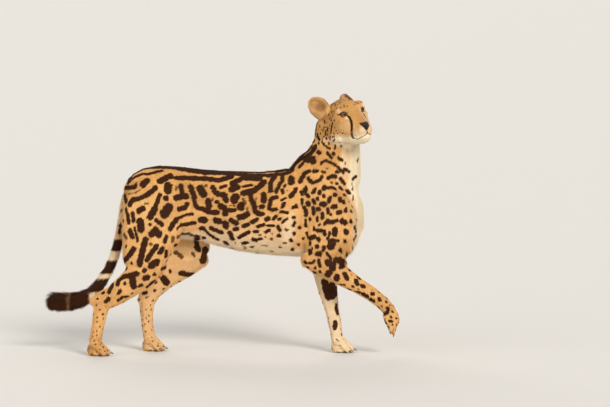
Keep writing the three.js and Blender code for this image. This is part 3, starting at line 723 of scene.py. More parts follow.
def leather(local):
    """1 on the bare nose, 0 off it."""
    x, y, z = local.T
    drop = np.clip((-12 - z) / 28, 0, 1)
    half = 17.5 - 12 * drop**2.2
    return (
        smooth(half + 0.8, half - 0.8, np.abs(y)) * smooth(136, 140, x)
        * smooth(-43, -41, z) * smooth(-11, -14, z)
    )


def shape_nose(local):
    """Nostrils: a curled hollow on each side of the bare nose."""
    x, y, z = local.T
    for sign in SIDES.values():
        curl = ((6.5, -31, 3.0), (9.5, -29, 3.4), (12.5, -26, 2.8), (13.5, -22, 2.0))
        for across, height, size in curl:
            gap = np.hypot(y - sign * across, z - height)
            depth = 4.5 * smooth(size, size * 0.2, gap) * (x > 134)
            local[:, 0] -= depth
    groove = 1.6 * smooth(1.8, 0.2, np.abs(y)) * (x > 130) * smooth(-60, -54, z) * smooth(-30, -36, z)
    local[:, 0] -= groove
    return local


def face_trail(tree, rows, strength=1.0):
    """Strokes laid on the near side of the face and repeated on the far side."""
    one = Trail()
    one.lay(tree, rows, strength=strength)
    trail = Trail()
    for centre, radius in zip(one.centres, one.radii):
        local = in_head(np.array([centre]))
        trail.add(centre, radius, strength)
        if local[0, 1] < -2:
            other = carried(HEAD, local * (1, -1, 1))[0]
            spot = tree.find_nearest(Vector(other))[0]
            trail.add(spot, radius, strength)
    return trail


def lip_trail(tree):
    """The lips' line on both sides of the head."""
    trail = Trail()
    for width, *row in LIPS:
        corners = np.array(row, float).reshape(-1, 3)
        for a, b in zip(corners[:-1], corners[1:]):
            for t in np.linspace(0, 1, 8):
                for sign in SIDES.values():
                    place = (a + (b - a) * t) * (1, -sign, 1)
                    trail.add(tree.find_nearest(HEAD @ Vector(place))[0], width / 2 * MM)
    return trail


def dot_trail(tree):
    """Rows of small dots under the whiskers and rows of spots on the crown."""
    trail = Trail()
    for sign in SIDES.values():
        for row in range(4):
            for k in range(5):
                place = (140 - 6 * k, sign * (13 + 4.5 * k + row % 2), -31 - 5 * row)
                trail.add(tree.find_nearest(HEAD @ Vector(place))[0], 0.9 * MM, 0.6)
        for row in range(6):
            for k in range(4):
                place = (22 + 11 * row + 3 * (k % 2), sign * (5 + 11 * k), 100 - 4 * k - 2 * row)
                trail.add(tree.find_nearest(HEAD @ Vector(place))[0], (3.3 - 0.25 * row) * MM, 0.85)
    return trail


def paw_frames():
    """For each paw: its claws' middles, the way its toes point and the way its back faces."""
    frames = {}
    for paw in PAWS:
        centres = []
        for number in range(1, 5):
            low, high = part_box(f"{paw}_claw_{number}")
            centres.append(np.array((low + high) / 2))
        centres = np.array(centres)
        droop = LIFTED_DROOP if paw == "right_fore" else 0.0
        facing = np.array((math.cos(droop), 0, -math.sin(droop)))
        back = np.array((math.sin(droop), 0, math.cos(droop)))
        frames[paw] = centres, facing, back
    return frames


def from_paws(points, behind):
    """Distance from each point to the nearest paw, taken this far behind its claws' middle."""
    gaps = [
        np.linalg.norm(points - (centres.mean(0) - facing * behind), axis=1)
        for centres, facing, _ in paw_frames().values()
    ]
    return np.minimum.reduce(gaps)


def toe_trail(tree):
    """The clefts between the toes."""
    trail = Trail()
    for centres, facing, back in paw_frames().values():
        for a, b in zip(centres[:-1], centres[1:]):
            for inward in np.linspace(-0.004, 0.044, 14):
                start = (a + b) / 2 - facing * inward + back * (0.010 + 0.4 * inward)
                spot = tree.find_nearest(Vector(start))[0]
                trail.add(spot, 2.4 * MM)
    return trail


def tree_of(points, triangles):
    return BVHTree.FromPolygons(points.tolist(), triangles.tolist())


def on_head(points):
    """Which points are on the face, crown or ears."""
    local = in_head(points)
    near = (np.linalg.norm(local - (70, 0, 10), axis=1) < 118) & (local[:, 2] > -88)
    near &= local[:, 0] > -42
    for side in SIDES:
        in_ear = carried(ear_matrix(side).inverted(), points)
        near |= np.linalg.norm(in_ear - EAR_MIDDLE, axis=1) < 48
    return near


def on_paws(points):
    return from_paws(points, 0.02) < 0.056


def on_features(points):
    """Which points are round the eyes or on the nose and upper lip."""
    local = in_head(points)
    near = (local[:, 0] > 126) & (np.abs(local[:, 1]) < 22) & (local[:, 2] > -62) & (local[:, 2] < -8)
    for side in SIDES:
        near |= np.linalg.norm(local - eye_frame(side)[0], axis=1) < EYE_RADIUS * 1.75
    return near


def make_skin(settings):
    """The skin as one mesh of even faces, finer on the head and paws, with its joins smoothed."""
    skin = shell(settings.grain)
    points, _ = read(skin.data)
    parts = near_parts(points)

    def is_part(*names):
        return np.isin(parts, [FLESH.index(name) for name in names])

    # The head and the paws keep more of their solids' shape than the rest.
    lifted = points[:, 2] > 0.1
    on_paw = from_paws(points, 0.03) < 0.062
    share = np.where(on_paw, np.where(lifted, 0.9, 0.5), 1.0)
    share = np.where(is_part("head", *EARS), 0.30, share)[:, None]
    edges = edges_of(skin.data)
    points = evened(points, edges, settings.evening, share)

    # The places where two solids meet at a sharp angle are evened further.
    x, _, z = (points - np.array(ZERO)).T / MM
    below_crown = smooth(972, 950, z)
    nape = smooth(80, 35, np.hypot(x - 308, z - 940)) * below_crown * ~is_part(*EARS)
    knuckle = smooth(48, 20, np.hypot(x - 652, z - 138))
    rump = smooth(55, 20, np.hypot(x + 462, z - 690)) * ~is_part("tail")
    thigh = smooth(62, 26, np.hypot(x + 482, z - 352)) * is_part("right_hind_leg")
    breast = smooth(75, 30, np.hypot(x - 490, z - 655)) * is_part("trunk", "neck")
    for place, rounds in ((nape, 35), (knuckle, 17), (rump, 21), (thigh, 24), (breast, 18)):
        points = spread(points, edges, rounds, (0.5 * place)[:, None])
    write_points(skin.data, points)

    finer(skin, lambda middles: on_head(middles) | on_paws(middles))
    finer(skin, on_features)
    points, _ = read(skin.data)
    edges = edges_of(skin.data)
    gentle = (on_head(points) | on_paws(points))[:, None] * 0.5
    points = evened(points, edges, 3, gentle)

    # The brows are drawn smooth, and the head is filled out beside the eyes.
    local = in_head(points)
    brow = np.linalg.norm((np.abs(local) - (86, 42, 54)) / (34, 32, 28), axis=1)
    brow *= np.where(local[:, 2] > 34, 1, 2)
    points = spread(points, edges, 90, (0.5 * smooth(1.35, 0.6, brow))[:, None])
    local = in_head(points)
    temple = np.linalg.norm((np.abs(local) - (80, 56, 40)) / (26, 20, 16), axis=1)
    temple *= np.where(local[:, 2] > 20, 1, 9)
    local[:, 1] += np.sign(local[:, 1]) * 5.0 * smooth(1.0, 0.2, temple)
    write_points(skin.data, carried(HEAD, local))
    return skin


def coat_flow(points, normals, edges, weights):
    """The way the hair lies at each point, along the surface."""
    flow = np.zeros_like(points)
    for index, name in enumerate(FLESH):
        way = LIE[name][4]
        if name == "trunk":
            x = (points[:, 0] - ZERO.x) / MM
            steep = smooth(230, 400, x) + smooth(-380, -460, x)
            way = np.column_stack([-1 + 0.7 * steep, np.zeros(len(x)), -0.25 - 0.75 * steep])
        elif name in EARS:
            way = turned(HEAD, (-0.25, side_of(name) * 0.45, 1))
        elif name == "head":
            x, y, z = in_head(points).T
            local = np.column_stack([-np.ones(len(x)), np.sign(y) * 0.25, np.clip(z / 90, -0.7, 0.25)])
            way = turned(HEAD, local)
        way = unit(np.broadcast_to(np.array(way, float), points.shape))
        flow += weights[:, index:index + 1] * way
    # On the paws the hair points forward to the toes.
    for centres, facing, back in paw_frames().values():
        gap = np.linalg.norm(points - (centres.mean(0) - facing * 0.035), axis=1)
        near = smooth(0.075, 0.045, gap)[:, None]
        flow += near * (facing - 0.3 * back - flow)
    for _ in range(3):
        flow = spread(flow, edges, 4)
        flow = unit(flow - normals * np.sum(flow * normals, axis=1, keepdims=True))
    return flow


def folds(points, edges, tree, lips):
    """Depth, in millimetres, of the muscles' hollows, the ribs, the toes' clefts and the lips."""
    depth = np.zeros(len(points))
    for side in SIDES:
        for width, sink, *row in HOLLOWS:
            hollow = Trail()
            hollow.lay(tree, ((2, *row),), side)
            if hollow.centres:
                gap = hollow.gap(points, width * MM)
                depth = np.maximum(depth, sink * smooth(width * MM * 0.5, 0, gap))
        for x in RIBS:
            rib = Trail()
            rib.lay(tree, ((2, x, 640, x - 22, 500),), side)
            gap = rib.gap(points, 20 * MM)
            depth = np.maximum(depth, 1.1 * smooth(11 * MM, 0, gap))
    toes = toe_trail(tree).gap(points, 8 * MM)
    depth += 3.6 * smooth(4.2 * MM, 0, toes)
    depth += 2.6 * smooth(2.6 * MM, 0, lips)
    return spread(depth[:, None], edges, 1)[:, 0]


def lid_edges(local):
    """Millimetres from each head point to the lids' edges and to the nearer eye's middle."""
    lids = np.minimum(lid_gap(local, "right"), lid_gap(local, "left"))
    # Above the eyes the dark edge is widened: partly the lids' own black rim and partly painted shade
    # under the upper lids.
    lids -= 3.1 * smooth(-2, 3, local[:, 2] - EYE_PLACE[2])
    to_eye = np.minimum(*(np.linalg.norm(local - eye_frame(side)[0], axis=1) for side in SIDES))
    lids += np.maximum(to_eye - EYE_RADIUS - 4, 0)
    return lids, to_eye


def carve_skin(skin):
    """Sinks the skin below the coat, adds its folds and stores what the coat reads from it."""
    mesh = skin.data
    points, triangles = read(mesh)
    tree = tree_of(points, triangles)
    normals = normals_of(mesh)
    edges = edges_of(mesh)
    parts = near_parts(points)
    weights = spread(np.eye(len(FLESH))[parts], edges, 17)
    paws = smooth(0.075, 0.045, from_paws(points, 0.035))
    hair = weights @ np.array([LIE[name][:4] for name in FLESH])
    hair += paws[:, None] * (np.array(PAW_LIE) - hair)
    flow = coat_flow(points, normals, edges, weights)

    # The skin sinks by the coat's depth and its own folds.
    head_local = in_head(points)
    lips = lip_trail(tree).gap(points, 6 * MM)
    depth = folds(points, edges, tree, lips)
    bare = leather(head_local)
    lids, to_eye = lid_edges(head_local)
    sole = smooth(-0.75, -0.95, normals[:, 2]) * (points[:, 2] < 0.012)
    inset = hair[:, 0] * (1 - 0.75 * bare) * (1 - 0.9 * sole)
    sunk = points - normals * (inset + depth)[:, None] * MM
    sunk = shape_ears(sunk, normals, weights)

    # The lids and nostrils are shaped in the head's own millimetres.
    local = shape_nose(shape_lids(in_head(sunk)))
    on_nose = (head_local[:, 0] > 120) & (np.abs(head_local[:, 1]) < 25)
    on_face = (to_eye < EYE_RADIUS * 2.0) | on_nose
    sunk[on_face] = carried(HEAD, local[on_face])
    write_points(mesh, sunk)

    # What the coat reads from the skin.
    for name, column in zip(("length", "width", "lift"), hair.T[1:]):
        remember(mesh, name, column)
    for name, column in zip("xyz", flow.T):
        remember(mesh, "flow_" + name, column)
    remember(mesh, "bare", np.maximum(bare, sole))
    remember(mesh, "lid", np.where(to_eye < EYE_RADIUS * 2.2, lids, 30))
    remember(mesh, "lip", lips / MM)
    for name, column in zip(FLESH, weights.T):
        remember(mesh, "in_" + name, column)
    return points, triangles


# ---------- colours of the coat ----------
def pale_amount(points, normals, weight):
    """How pale the hair is at each point, from 0, tawny, to 1, cream. weight gives the parts."""
    # The belly, flanks, chest and throat.
    x, _, z = (points - np.array(ZERO)).T / MM
    trunk = weight["trunk"] + weight["neck"]
    under = 0.8 * smooth(-0.15, -0.75, normals[:, 2]) * trunk
    low = smooth(500, 400, z) * trunk * 0.5
    armpit = smooth(88, 28, np.hypot(x - 228, (z - 475) / 1.8)) * trunk * 0.7
    flank = smooth(620, 430, z) * 0.42 * trunk * smooth(-260, -150, x)
    front = smooth(0.12, 0.62, normals[:, 0] + 0.25 * normals[:, 2] * (z > 700))
    front = front * trunk * smooth(300, 400, x)
    breast = smooth(0.35, 0.9, normals[:, 0]) * smooth(400, 470, x) * smooth(420, 500, z) * 0.5
    throat = smooth(0.0, 0.5, normals[:, 0] - 0.6 * normals[:, 2]) * weight["neck"]
    pale = np.maximum.reduce([under, low, armpit, flank, front * 0.92, breast, throat])

    # The insides of the legs, and the tail.
    for name in LEGS:
        inner = smooth(0.05, 0.65, -side_of(name) * normals[:, 1]) * weight[name]
        most = {"left_foreleg": 0.6, "left_hind_leg": 0.15}.get(name, 0.5)
        pale = np.maximum(pale, most * inner + 0.05 * weight[name])
    facing = smooth(0.55, -0.05, normals[:, 1])
    pale = np.maximum(pale, weight["left_foreleg"] * smooth(330, 240, z) * facing * 0.52)
    pale = np.maximum(pale, weight["tail"] * (0.35 + 0.45 * smooth(480, 400, z)))

    # The face and the ears' fronts.
    lx, ly, lz = in_head(points).T
    across = np.abs(ly)
    chin = smooth(-42, -60, lz) + smooth(-20, -46, lz) * smooth(118, 60, lx) * 0.9
    whisker_pads = smooth(26, 10, np.hypot(across - 16, lz + 46)) * (lx > 100) * 0.6
    brow = smooth(13, 5, np.hypot(lx - 94, np.hypot(across - 51, lz - 45)))
    brow = brow * (0.6 + 0.15 * np.sign(ly))
    under_eye = smooth(10, 5, np.hypot(lx - 112, np.hypot(across - 37, lz - 15))) * 0.7
    cheek = smooth(28, 10, np.hypot(across - 46, lz + 10)) * (lx > 60) * 0.16
    face = np.maximum.reduce([chin, whisker_pads, brow, under_eye, cheek])
    pale = np.maximum(pale, np.clip(face, 0, 1) * weight["head"])
    ears = weight["right_ear"] + weight["left_ear"]
    facing = normals @ turned(HEAD, (1, 0, 0.1))
    pale = np.maximum(pale, ears * 0.12 * smooth(0.1, 0.5, facing))
    return np.clip(pale, 0, 1)


def tail_band(points):
    """Dark rings round the tail, from its root to the tip."""
    x, _, z = (points - np.array(ZERO)).T / MM
    ring = np.zeros(len(points))
    for height, half in TAIL_RINGS:
        ring = np.maximum(ring, smooth(half + 3, half - 3, np.abs(z - height)) * (x < -440))
    tip = smooth(TAIL_TIP, TAIL_TIP - 10, x)
    grey = smooth(8, 3, np.abs(x - TAIL_GREY)) * 0.5
    return np.maximum(ring, tip - grey)


def dark_places(points, normals, weight, bare, lid, lip):
    """Dark skin and hair that belongs to no stroke: nose, lid edges, lips, ear backs, nape, tail; with
    painted shade in the ears' cups and above the eyes.
    """
    ink = np.clip(bare, 0, 1)
    ink = np.maximum(ink, smooth(1.9, 1.1, lid))
    ink = np.maximum(ink, smooth(1.6, 0.6, lip) * weight["head"])

    # The ears' backs, darkest low down, and the shade in their cups.
    back = -(normals @ turned(HEAD, (1, 0, 0.1)))
    low = smooth(100, 72, in_head(points)[:, 2])
    for name in EARS:
        ink = np.maximum(ink, weight[name] * smooth(0.1, 0.5, back) * (0.35 + 0.6 * low))
        _, ey, ez = carried(ear_matrix(name.split("_")[0]).inverted(), points).T
        inner = -side_of(name) * ey
        cup = 0.14 + smooth(26, 6, np.hypot(inner - 5, ez - 24)) * 0.22
        if name == "left_ear":
            cup = np.maximum(cup, 0.5 * smooth(38, 56, ez))
        ink = np.maximum(ink, weight[name] * cup * smooth(0.3, 0.0, back))

    # The tail's rings, the band along the spine and the mane's dark line.
    ink = np.maximum(ink, weight["tail"] * tail_band(points))
    x, y, z = (points - np.array(ZERO)).T / MM
    spine = smooth(18, 13, np.abs(y)) * smooth(0.3, 0.6, normals[:, 2]) * weight["trunk"]
    spine *= smooth(-465, -450, x) * smooth(190, 150, x)
    nape = smooth(17, 13, np.abs(y + 6)) * (normals[:, 0] < 0.1) * (z > 745) * (z < 850) * (x > 150)
    nape *= x < 330
    return np.clip(np.maximum.reduce([ink, spine, nape]), 0, 1)


def spots(points, normals, weight, pale, laid_down, seed=11):
    """Scattered round spots wherever no stroke was drawn, smaller on the face and feet."""
    rng = np.random.default_rng(seed)
    x, y, z = (points - np.array(ZERO)).T / MM
    far = laid_down.gap(points, 30 * MM)
    trail = Trail()
    taken = np.zeros((0, 3))
    leg = sum(weight[n] for n in LEGS)
    small = np.clip(leg * smooth(300, 160, z) + weight["head"] + weight["neck"] * 0.3, 0, 1)
    # No spots on the tail, face and ears, inside the left hind leg or on the throat.
    plain = weight["tail"] > 0.5
    plain |= (weight["head"] > 0.4) & (in_head(points)[:, 0] > 60)
    plain |= weight["right_ear"] + weight["left_ear"] > 0.3
    plain |= (weight["left_hind_leg"] > 0.4) & (normals[:, 1] < 0) & (z > 300)
    plain |= (weight["neck"] > 0.4) & (x > 415) & (y < 0)
    for i in rng.permutation(len(points))[:26000]:
        if plain[i] or far[i] < 17 * MM - small[i] * 6 * MM or pale[i] > 0.62:
            continue
        room = (31 - 15 * small[i]) * MM
        if len(taken) and np.min(np.sum((taken - points[i]) ** 2, axis=1)) < room**2:
            continue
        taken = np.vstack([taken, points[i]])
        size = (7.5 - 4.2 * small[i]) * MM * rng.uniform(0.75, 1.25)
        trail.add(points[i], size)
        if small[i] < 0.5:
            along = unit(rng.normal(size=3))
            along -= normals[i] * (along @ normals[i])
            trail.add(points[i] + along * size * rng.uniform(0.2, 0.9), size * 0.85)
    return trail


def wavering(points, size=1.3 * MM):
    """Points moved a little to and fro, so that the marks have uneven edges."""
    moved = points.copy()
    for axis in range(3):
        wave = np.zeros(len(points))
        for k, (pitch, part) in enumerate(((0.013, 1.0), (0.0071, 0.6), (0.0041, 0.35))):
            spin = points @ np.array(((0.8, 0.55, -0.3), (-0.5, 0.75, 0.45), (0.35, -0.4, 0.85)))
            wave += part * np.sin(spin[:, (axis + k) % 3] * 2 * math.pi / pitch + 1.7 * axis + k)
        moved[:, axis] += size * wave
    return moved


def draw_marks(points, triangles, normals, weight, pale):
    """All the strokes and spots, some of them painted shade, as trails on the coat's outer surface."""
    tree = tree_of(points, triangles)
    strong = Trail()
    for rows in (RUMP_MARKS, FLANK_MARKS, SHOULDER_MARKS, FORELEG_MARKS, HOCK_MARKS, NECK_MARKS):
        strong.lay(tree, rows, widen=1.2)
    # The far foreleg's inside is partly its marks and partly painted shade.
    for rows in (INNER_FORELEG_MARKS_AND_SHADE, INNER_HIND_MARKS):
        strong.lay(tree, rows, strength=0.9, widen=1.2)
    for side in SIDES:
        strong.lay(tree, BACK_MARKS, side, past=laid_over)
    for rows in (RUMP_MARKS, FLANK_MARKS, SHOULDER_MARKS, NECK_MARKS):
        above = [row for row in rows if min(row[2::2]) > 455]
        strong.lay(tree, above, "left", shift=(-9, 4), widen=1.2)
    # Faint marks, and the painted shade under the groin.
    strong.lay(tree, FAINT_MARKS_AND_SHADE, strength=0.62)
    face = face_trail(tree, FACE_MARKS, 0.9)
    tear = face_trail(tree, TEAR_MARKS)
    dots = dot_trail(tree)
    scattered = spots(points, normals, weight, pale, strong)
    return strong, scattered, face, tear, dots


FORM = {}  # the skin's arrays and trails, which the later steps share


def full_ink(points, normals, weight, bare, lid, lip, pale):
    """Strokes, spots and dark places together, with uneven edges off the face."""
    strong, scattered, face, tear, dots = FORM["trails"]
    uneven = wavering(points)
    fainter = 1 - 0.3 * smooth(0.6, 0.95, pale)
    ink = np.maximum(strong.cover(uneven), scattered.cover(uneven) * fainter)
    off_ears = 1 - smooth(0.2, 0.5, weight["right_ear"] + weight["left_ear"])
    ink = np.maximum(ink, face.cover(points, 1.2 * MM) * off_ears)
    ink = np.maximum(ink, tear.cover(points, 1.4 * MM))
    ink = np.maximum(ink, dots.cover(points, 1.0 * MM))
    ink = np.maximum(ink, 0.17 * weight["head"] * (1 - pale))
    return np.maximum(ink, dark_places(points, normals, weight, bare, lid, lip))


def shag_amount(points, normals, weight):
    """Where the hair is longer: nape, throat, chest, belly, tail, cheeks, elbows and thighs."""
    x, y, z = (points - np.array(ZERO)).T / MM
    local = in_head(points)
    trunk = weight["trunk"] + weight["neck"]
    nape = smooth(34, 16, np.abs(y + 6)) * (normals[:, 0] < 0.2) * smooth(730, 760, z)
    nape = nape * trunk * (x < 350) * (x > 120)
    belly = 0.55 * smooth(-0.35, -0.8, normals[:, 2]) * weight["trunk"]
    chest = (0.36 + 0.3 * smooth(640, 540, z)) * smooth(0.35, 0.8, normals[:, 0]) * trunk * (x > 330)
    crook = smooth(90, 40, np.hypot(x - 440, z - 440))
    crook = crook * smooth(0.0, 0.5, normals[:, 0] - 0.4 * normals[:, 2])
    tail = weight["tail"] * (0.45 + 0.55 * smooth(-520, -640, x))
    ruff = 0.5 * smooth(52, 20, local[:, 0]) * smooth(20, -20, local[:, 2]) * weight["head"]
    ears = 0.5 * (weight["right_ear"] + weight["left_ear"])
    ears = ears * smooth(0.0, 0.5, normals @ turned(HEAD, (1, 0, 0)))
    haunches = weight["right_hind_leg"] + weight["left_hind_leg"] + weight["trunk"]
    thighs = 0.3 * smooth(-0.3, -0.8, normals[:, 0]) * haunches * (z > 250)
    forelegs = weight["right_foreleg"] + weight["left_foreleg"]
    elbow = 0.35 * smooth(-0.2, -0.7, normals[:, 0]) * forelegs * (z > 250)
    shag = np.maximum.reduce([nape, belly, chest, crook, tail, ruff, ears, thighs, elbow])
    return np.clip(shag, 0, 1)


# ---------- materials ----------
class Nodes:
    """Short ways to add and join a material's nodes."""

    def __init__(self, name):
        self.material = bpy.data.materials.new(name)
        self.material.use_nodes = True
        self.tree = self.material.node_tree
        self.shader = self.tree.nodes["Principled BSDF"]

    def add(self, kind, **settings):
        node = self.tree.nodes.new("ShaderNode" + kind)
        for key, value in settings.items():
            setattr(node, key, value)
        return node

    def put(self, socket, value):
        if isinstance(value, bpy.types.NodeSocket):
            self.tree.links.new(value, socket)
        else:
            socket.default_value = value

    def attribute(self, name):
        return self.add("Attribute", attribute_name=name).outputs["Fac"]

    def math(self, operation, *values, clamp=False):
        node = self.add("Math", operation=operation, use_clamp=clamp)
        for socket, value in zip(node.inputs, values):
            self.put(socket, value)
        return node.outputs[0]

    def mix(self, factor, a, b, blend="MIX"):
        node = self.add("Mix", data_type="RGBA", blend_type=blend)
        for socket, value in zip((node.inputs[0], node.inputs[6], node.inputs[7]), (factor, a, b)):
            self.put(socket, value)
        return node.outputs[2]

    def noise(self, scale, detail=3.0, rough=0.55, place=None):
        node = self.add("TexNoise")
        self.put(node.inputs["Vector"], place or self.add("TexCoord").outputs["Object"])
        self.put(node.inputs["Scale"], scale)
        self.put(node.inputs["Detail"], detail)
        self.put(node.inputs["Roughness"], rough)
        return node.outputs["Fac"]

    def range(self, value, low, high, to_low=0.0, to_high=1.0):
        node = self.add("MapRange", interpolation_type="SMOOTHSTEP")
        for socket, number in zip(node.inputs, (value, low, high, to_low, to_high)):
            self.put(socket, number)
        return node.outputs[0]

    def bump(self, height, distance, strength=1.0):
        node = self.add("Bump")
        self.put(node.inputs["Height"], height)
        self.put(node.inputs["Distance"], distance)
        self.put(node.inputs["Strength"], strength)
        self.put(self.shader.inputs["Normal"], node.outputs[0])


def opaque(colour):
    """A colour with full alpha."""
    return (*colour, 1.0)


def hair_colour(nodes, coat):
    """Tawny to pale ground with dark marks, all read from the surface's own attributes."""
    patch = nodes.noise(9.0, 3.0)
    fine = nodes.noise(260.0, 2.0)
    warm = tuple(c * f for c, f in zip(coat.tawny, (0.80, 0.74, 0.66)))
    ground = nodes.mix(nodes.range(patch, 0.35, 0.7), opaque(coat.tawny), opaque(warm))
    dimmer = [c * 0.93 for c in coat.pale]
    pale = nodes.mix(nodes.range(patch, 0.3, 0.7), opaque(coat.pale), opaque(dimmer))
    ground = nodes.mix(nodes.attribute("pale"), ground, pale)
    rich = tuple(c * f for c, f in zip(coat.dark, (2.0, 1.8, 1.6)))
    dark = nodes.mix(fine, opaque(coat.dark), opaque(rich))
    ink = nodes.attribute("ink")
    brown = nodes.mix(nodes.range(ink, 0.45, 0.95), opaque(coat.brown), dark)
    return nodes.mix(nodes.range(ink, 0.0, 0.6), ground, brown)


def coat_look(coat):
    """Hair of the tufts: matt, with a soft sheen, each tuft a shade apart from the next."""
    nodes = Nodes("cheetah_hair")
    colour = hair_colour(nodes, coat)
    shade = nodes.range(nodes.attribute("shade"), 0.0, 1.0, 0.86, 1.13)
    strength = nodes.math("MULTIPLY_ADD", nodes.attribute("pale"), -0.7, 1.0)
    colour = nodes.mix(strength, colour, shade, "MULTIPLY")
    nodes.put(nodes.shader.inputs["Base Color"], colour)
    nodes.shader.inputs["Roughness"].default_value = 0.72
    nodes.shader.inputs["Specular IOR Level"].default_value = 0.07
    nodes.shader.inputs["Sheen Weight"].default_value = 0.02
    nodes.shader.inputs["Sheen Roughness"].default_value = 0.5
    return nodes.material


def skin_look(coat):
    """Skin under the hair, in the same pattern, and bare dark leather on nose, lips and pads."""
    nodes = Nodes("cheetah_skin")
    colour = hair_colour(nodes, coat)
    bare = nodes.attribute("bare")
    black, grey = (0.010, 0.007, 0.007), (0.026, 0.017, 0.016)
    hide = nodes.mix(nodes.noise(420.0), opaque(black), opaque(grey))
    nodes.put(nodes.shader.inputs["Base Color"], nodes.mix(bare, colour, hide))
    nodes.put(nodes.shader.inputs["Roughness"], nodes.range(bare, 0.0, 1.0, 0.85, 0.42))
    nodes.shader.inputs["Specular IOR Level"].default_value = 0.25
    cells = nodes.add("TexVoronoi")
    nodes.put(cells.inputs["Vector"], nodes.add("TexCoord").outputs["Object"])
    nodes.put(cells.inputs["Scale"], 900.0)
    hair = nodes.noise(700.0, 2.0)
    height = nodes.add("Mix", data_type="FLOAT")
    for number, value in ((0, bare), (2, hair), (3, cells.outputs[0])):
        nodes.put(height.inputs[number], value)
    nodes.bump(height.outputs[0], 0.0006)
    return nodes.material


# ---------- tufts ----------
def sown(areas, count, rng):
    """Which triangle each tuft grows on, evenly by weighted area, and its place in it."""
    total = np.cumsum(areas)
    steps = (np.arange(count) + rng.uniform(0.05, 0.95, count)) * total[-1] / count
    chosen = np.searchsorted(total, steps).clip(0, len(areas) - 1)
    a, b = rng.uniform(size=(2, count))
    flip = a + b > 1
    a[flip], b[flip] = 1 - a[flip], 1 - b[flip]
    return chosen, np.column_stack([1 - a - b, a, b])


def tuft_mesh(name, roots, way, normal, size, uv, material, rings=1, sag=0.0):
    """One closed, leaf-shaped tuft on each root, all in one mesh. size holds length, width, lift."""
    count = len(roots)
    side = np.cross(normal, way)
    length, width, lift = size.T[:, :, None]
    points = [roots - normal * 0.0008]
    down = np.array((0, 0, -1.0))
    for ring in range(rings):
        t = (ring + 1) / (rings + 1)
        rise = lift * length * t
        middle = roots + way * length * t + normal * rise + down * sag * length * t * t
        half = side * width * 0.5 * (1 - 0.35 * ring)
        points += [middle + half, middle - half, middle + normal * width * 0.16]
    points.append(roots + way * length + normal * lift * length * 0.9 + down * sag * length)

    # Point 0 is the root; each ring then has a left, a right and a raised point, and the tip is last.
    faces = []
    left, right, ridge = 1, 2, 3
    faces += [(0, right, ridge), (0, ridge, left), (0, left, right)]
    for ring in range(rings - 1):
        nleft, nright, nridge = left + 3, right + 3, ridge + 3
        faces += [(right, nright, nridge), (right, nridge, ridge), (ridge, nridge, nleft)]
        faces += [(ridge, nleft, left), (left, nleft, nright), (left, nright, right)]
        left, right, ridge = nleft, nright, nridge
    tip = 1 + 3 * rings
    faces += [(right, tip, ridge), (ridge, tip, left), (left, tip, right)]

    each = tip + 1
    stacked = np.stack(points, axis=1).reshape(-1, 3)
    stacked[:, 2] = np.maximum(stacked[:, 2], 0.0003)
    all_faces = (np.array(faces)[None] + (np.arange(count) * each)[:, None, None]).reshape(-1, 3)
    thing = new_mesh(name, stacked, all_faces, material)
    spot = np.zeros((each, 2))
    spot[1:] = [(0.0015 * math.cos(k * 2.1), 0.0015 * math.sin(k * 2.1)) for k in range(each - 1)]
    layer = thing.data.uv_layers.new(name="OFBake")
    corner = (uv[:, None, :] + spot[None]).reshape(-1, 2)[all_faces.ravel()]
    layer.data.foreach_set("uv", corner.astype(np.float32).ravel())
    return thing, each


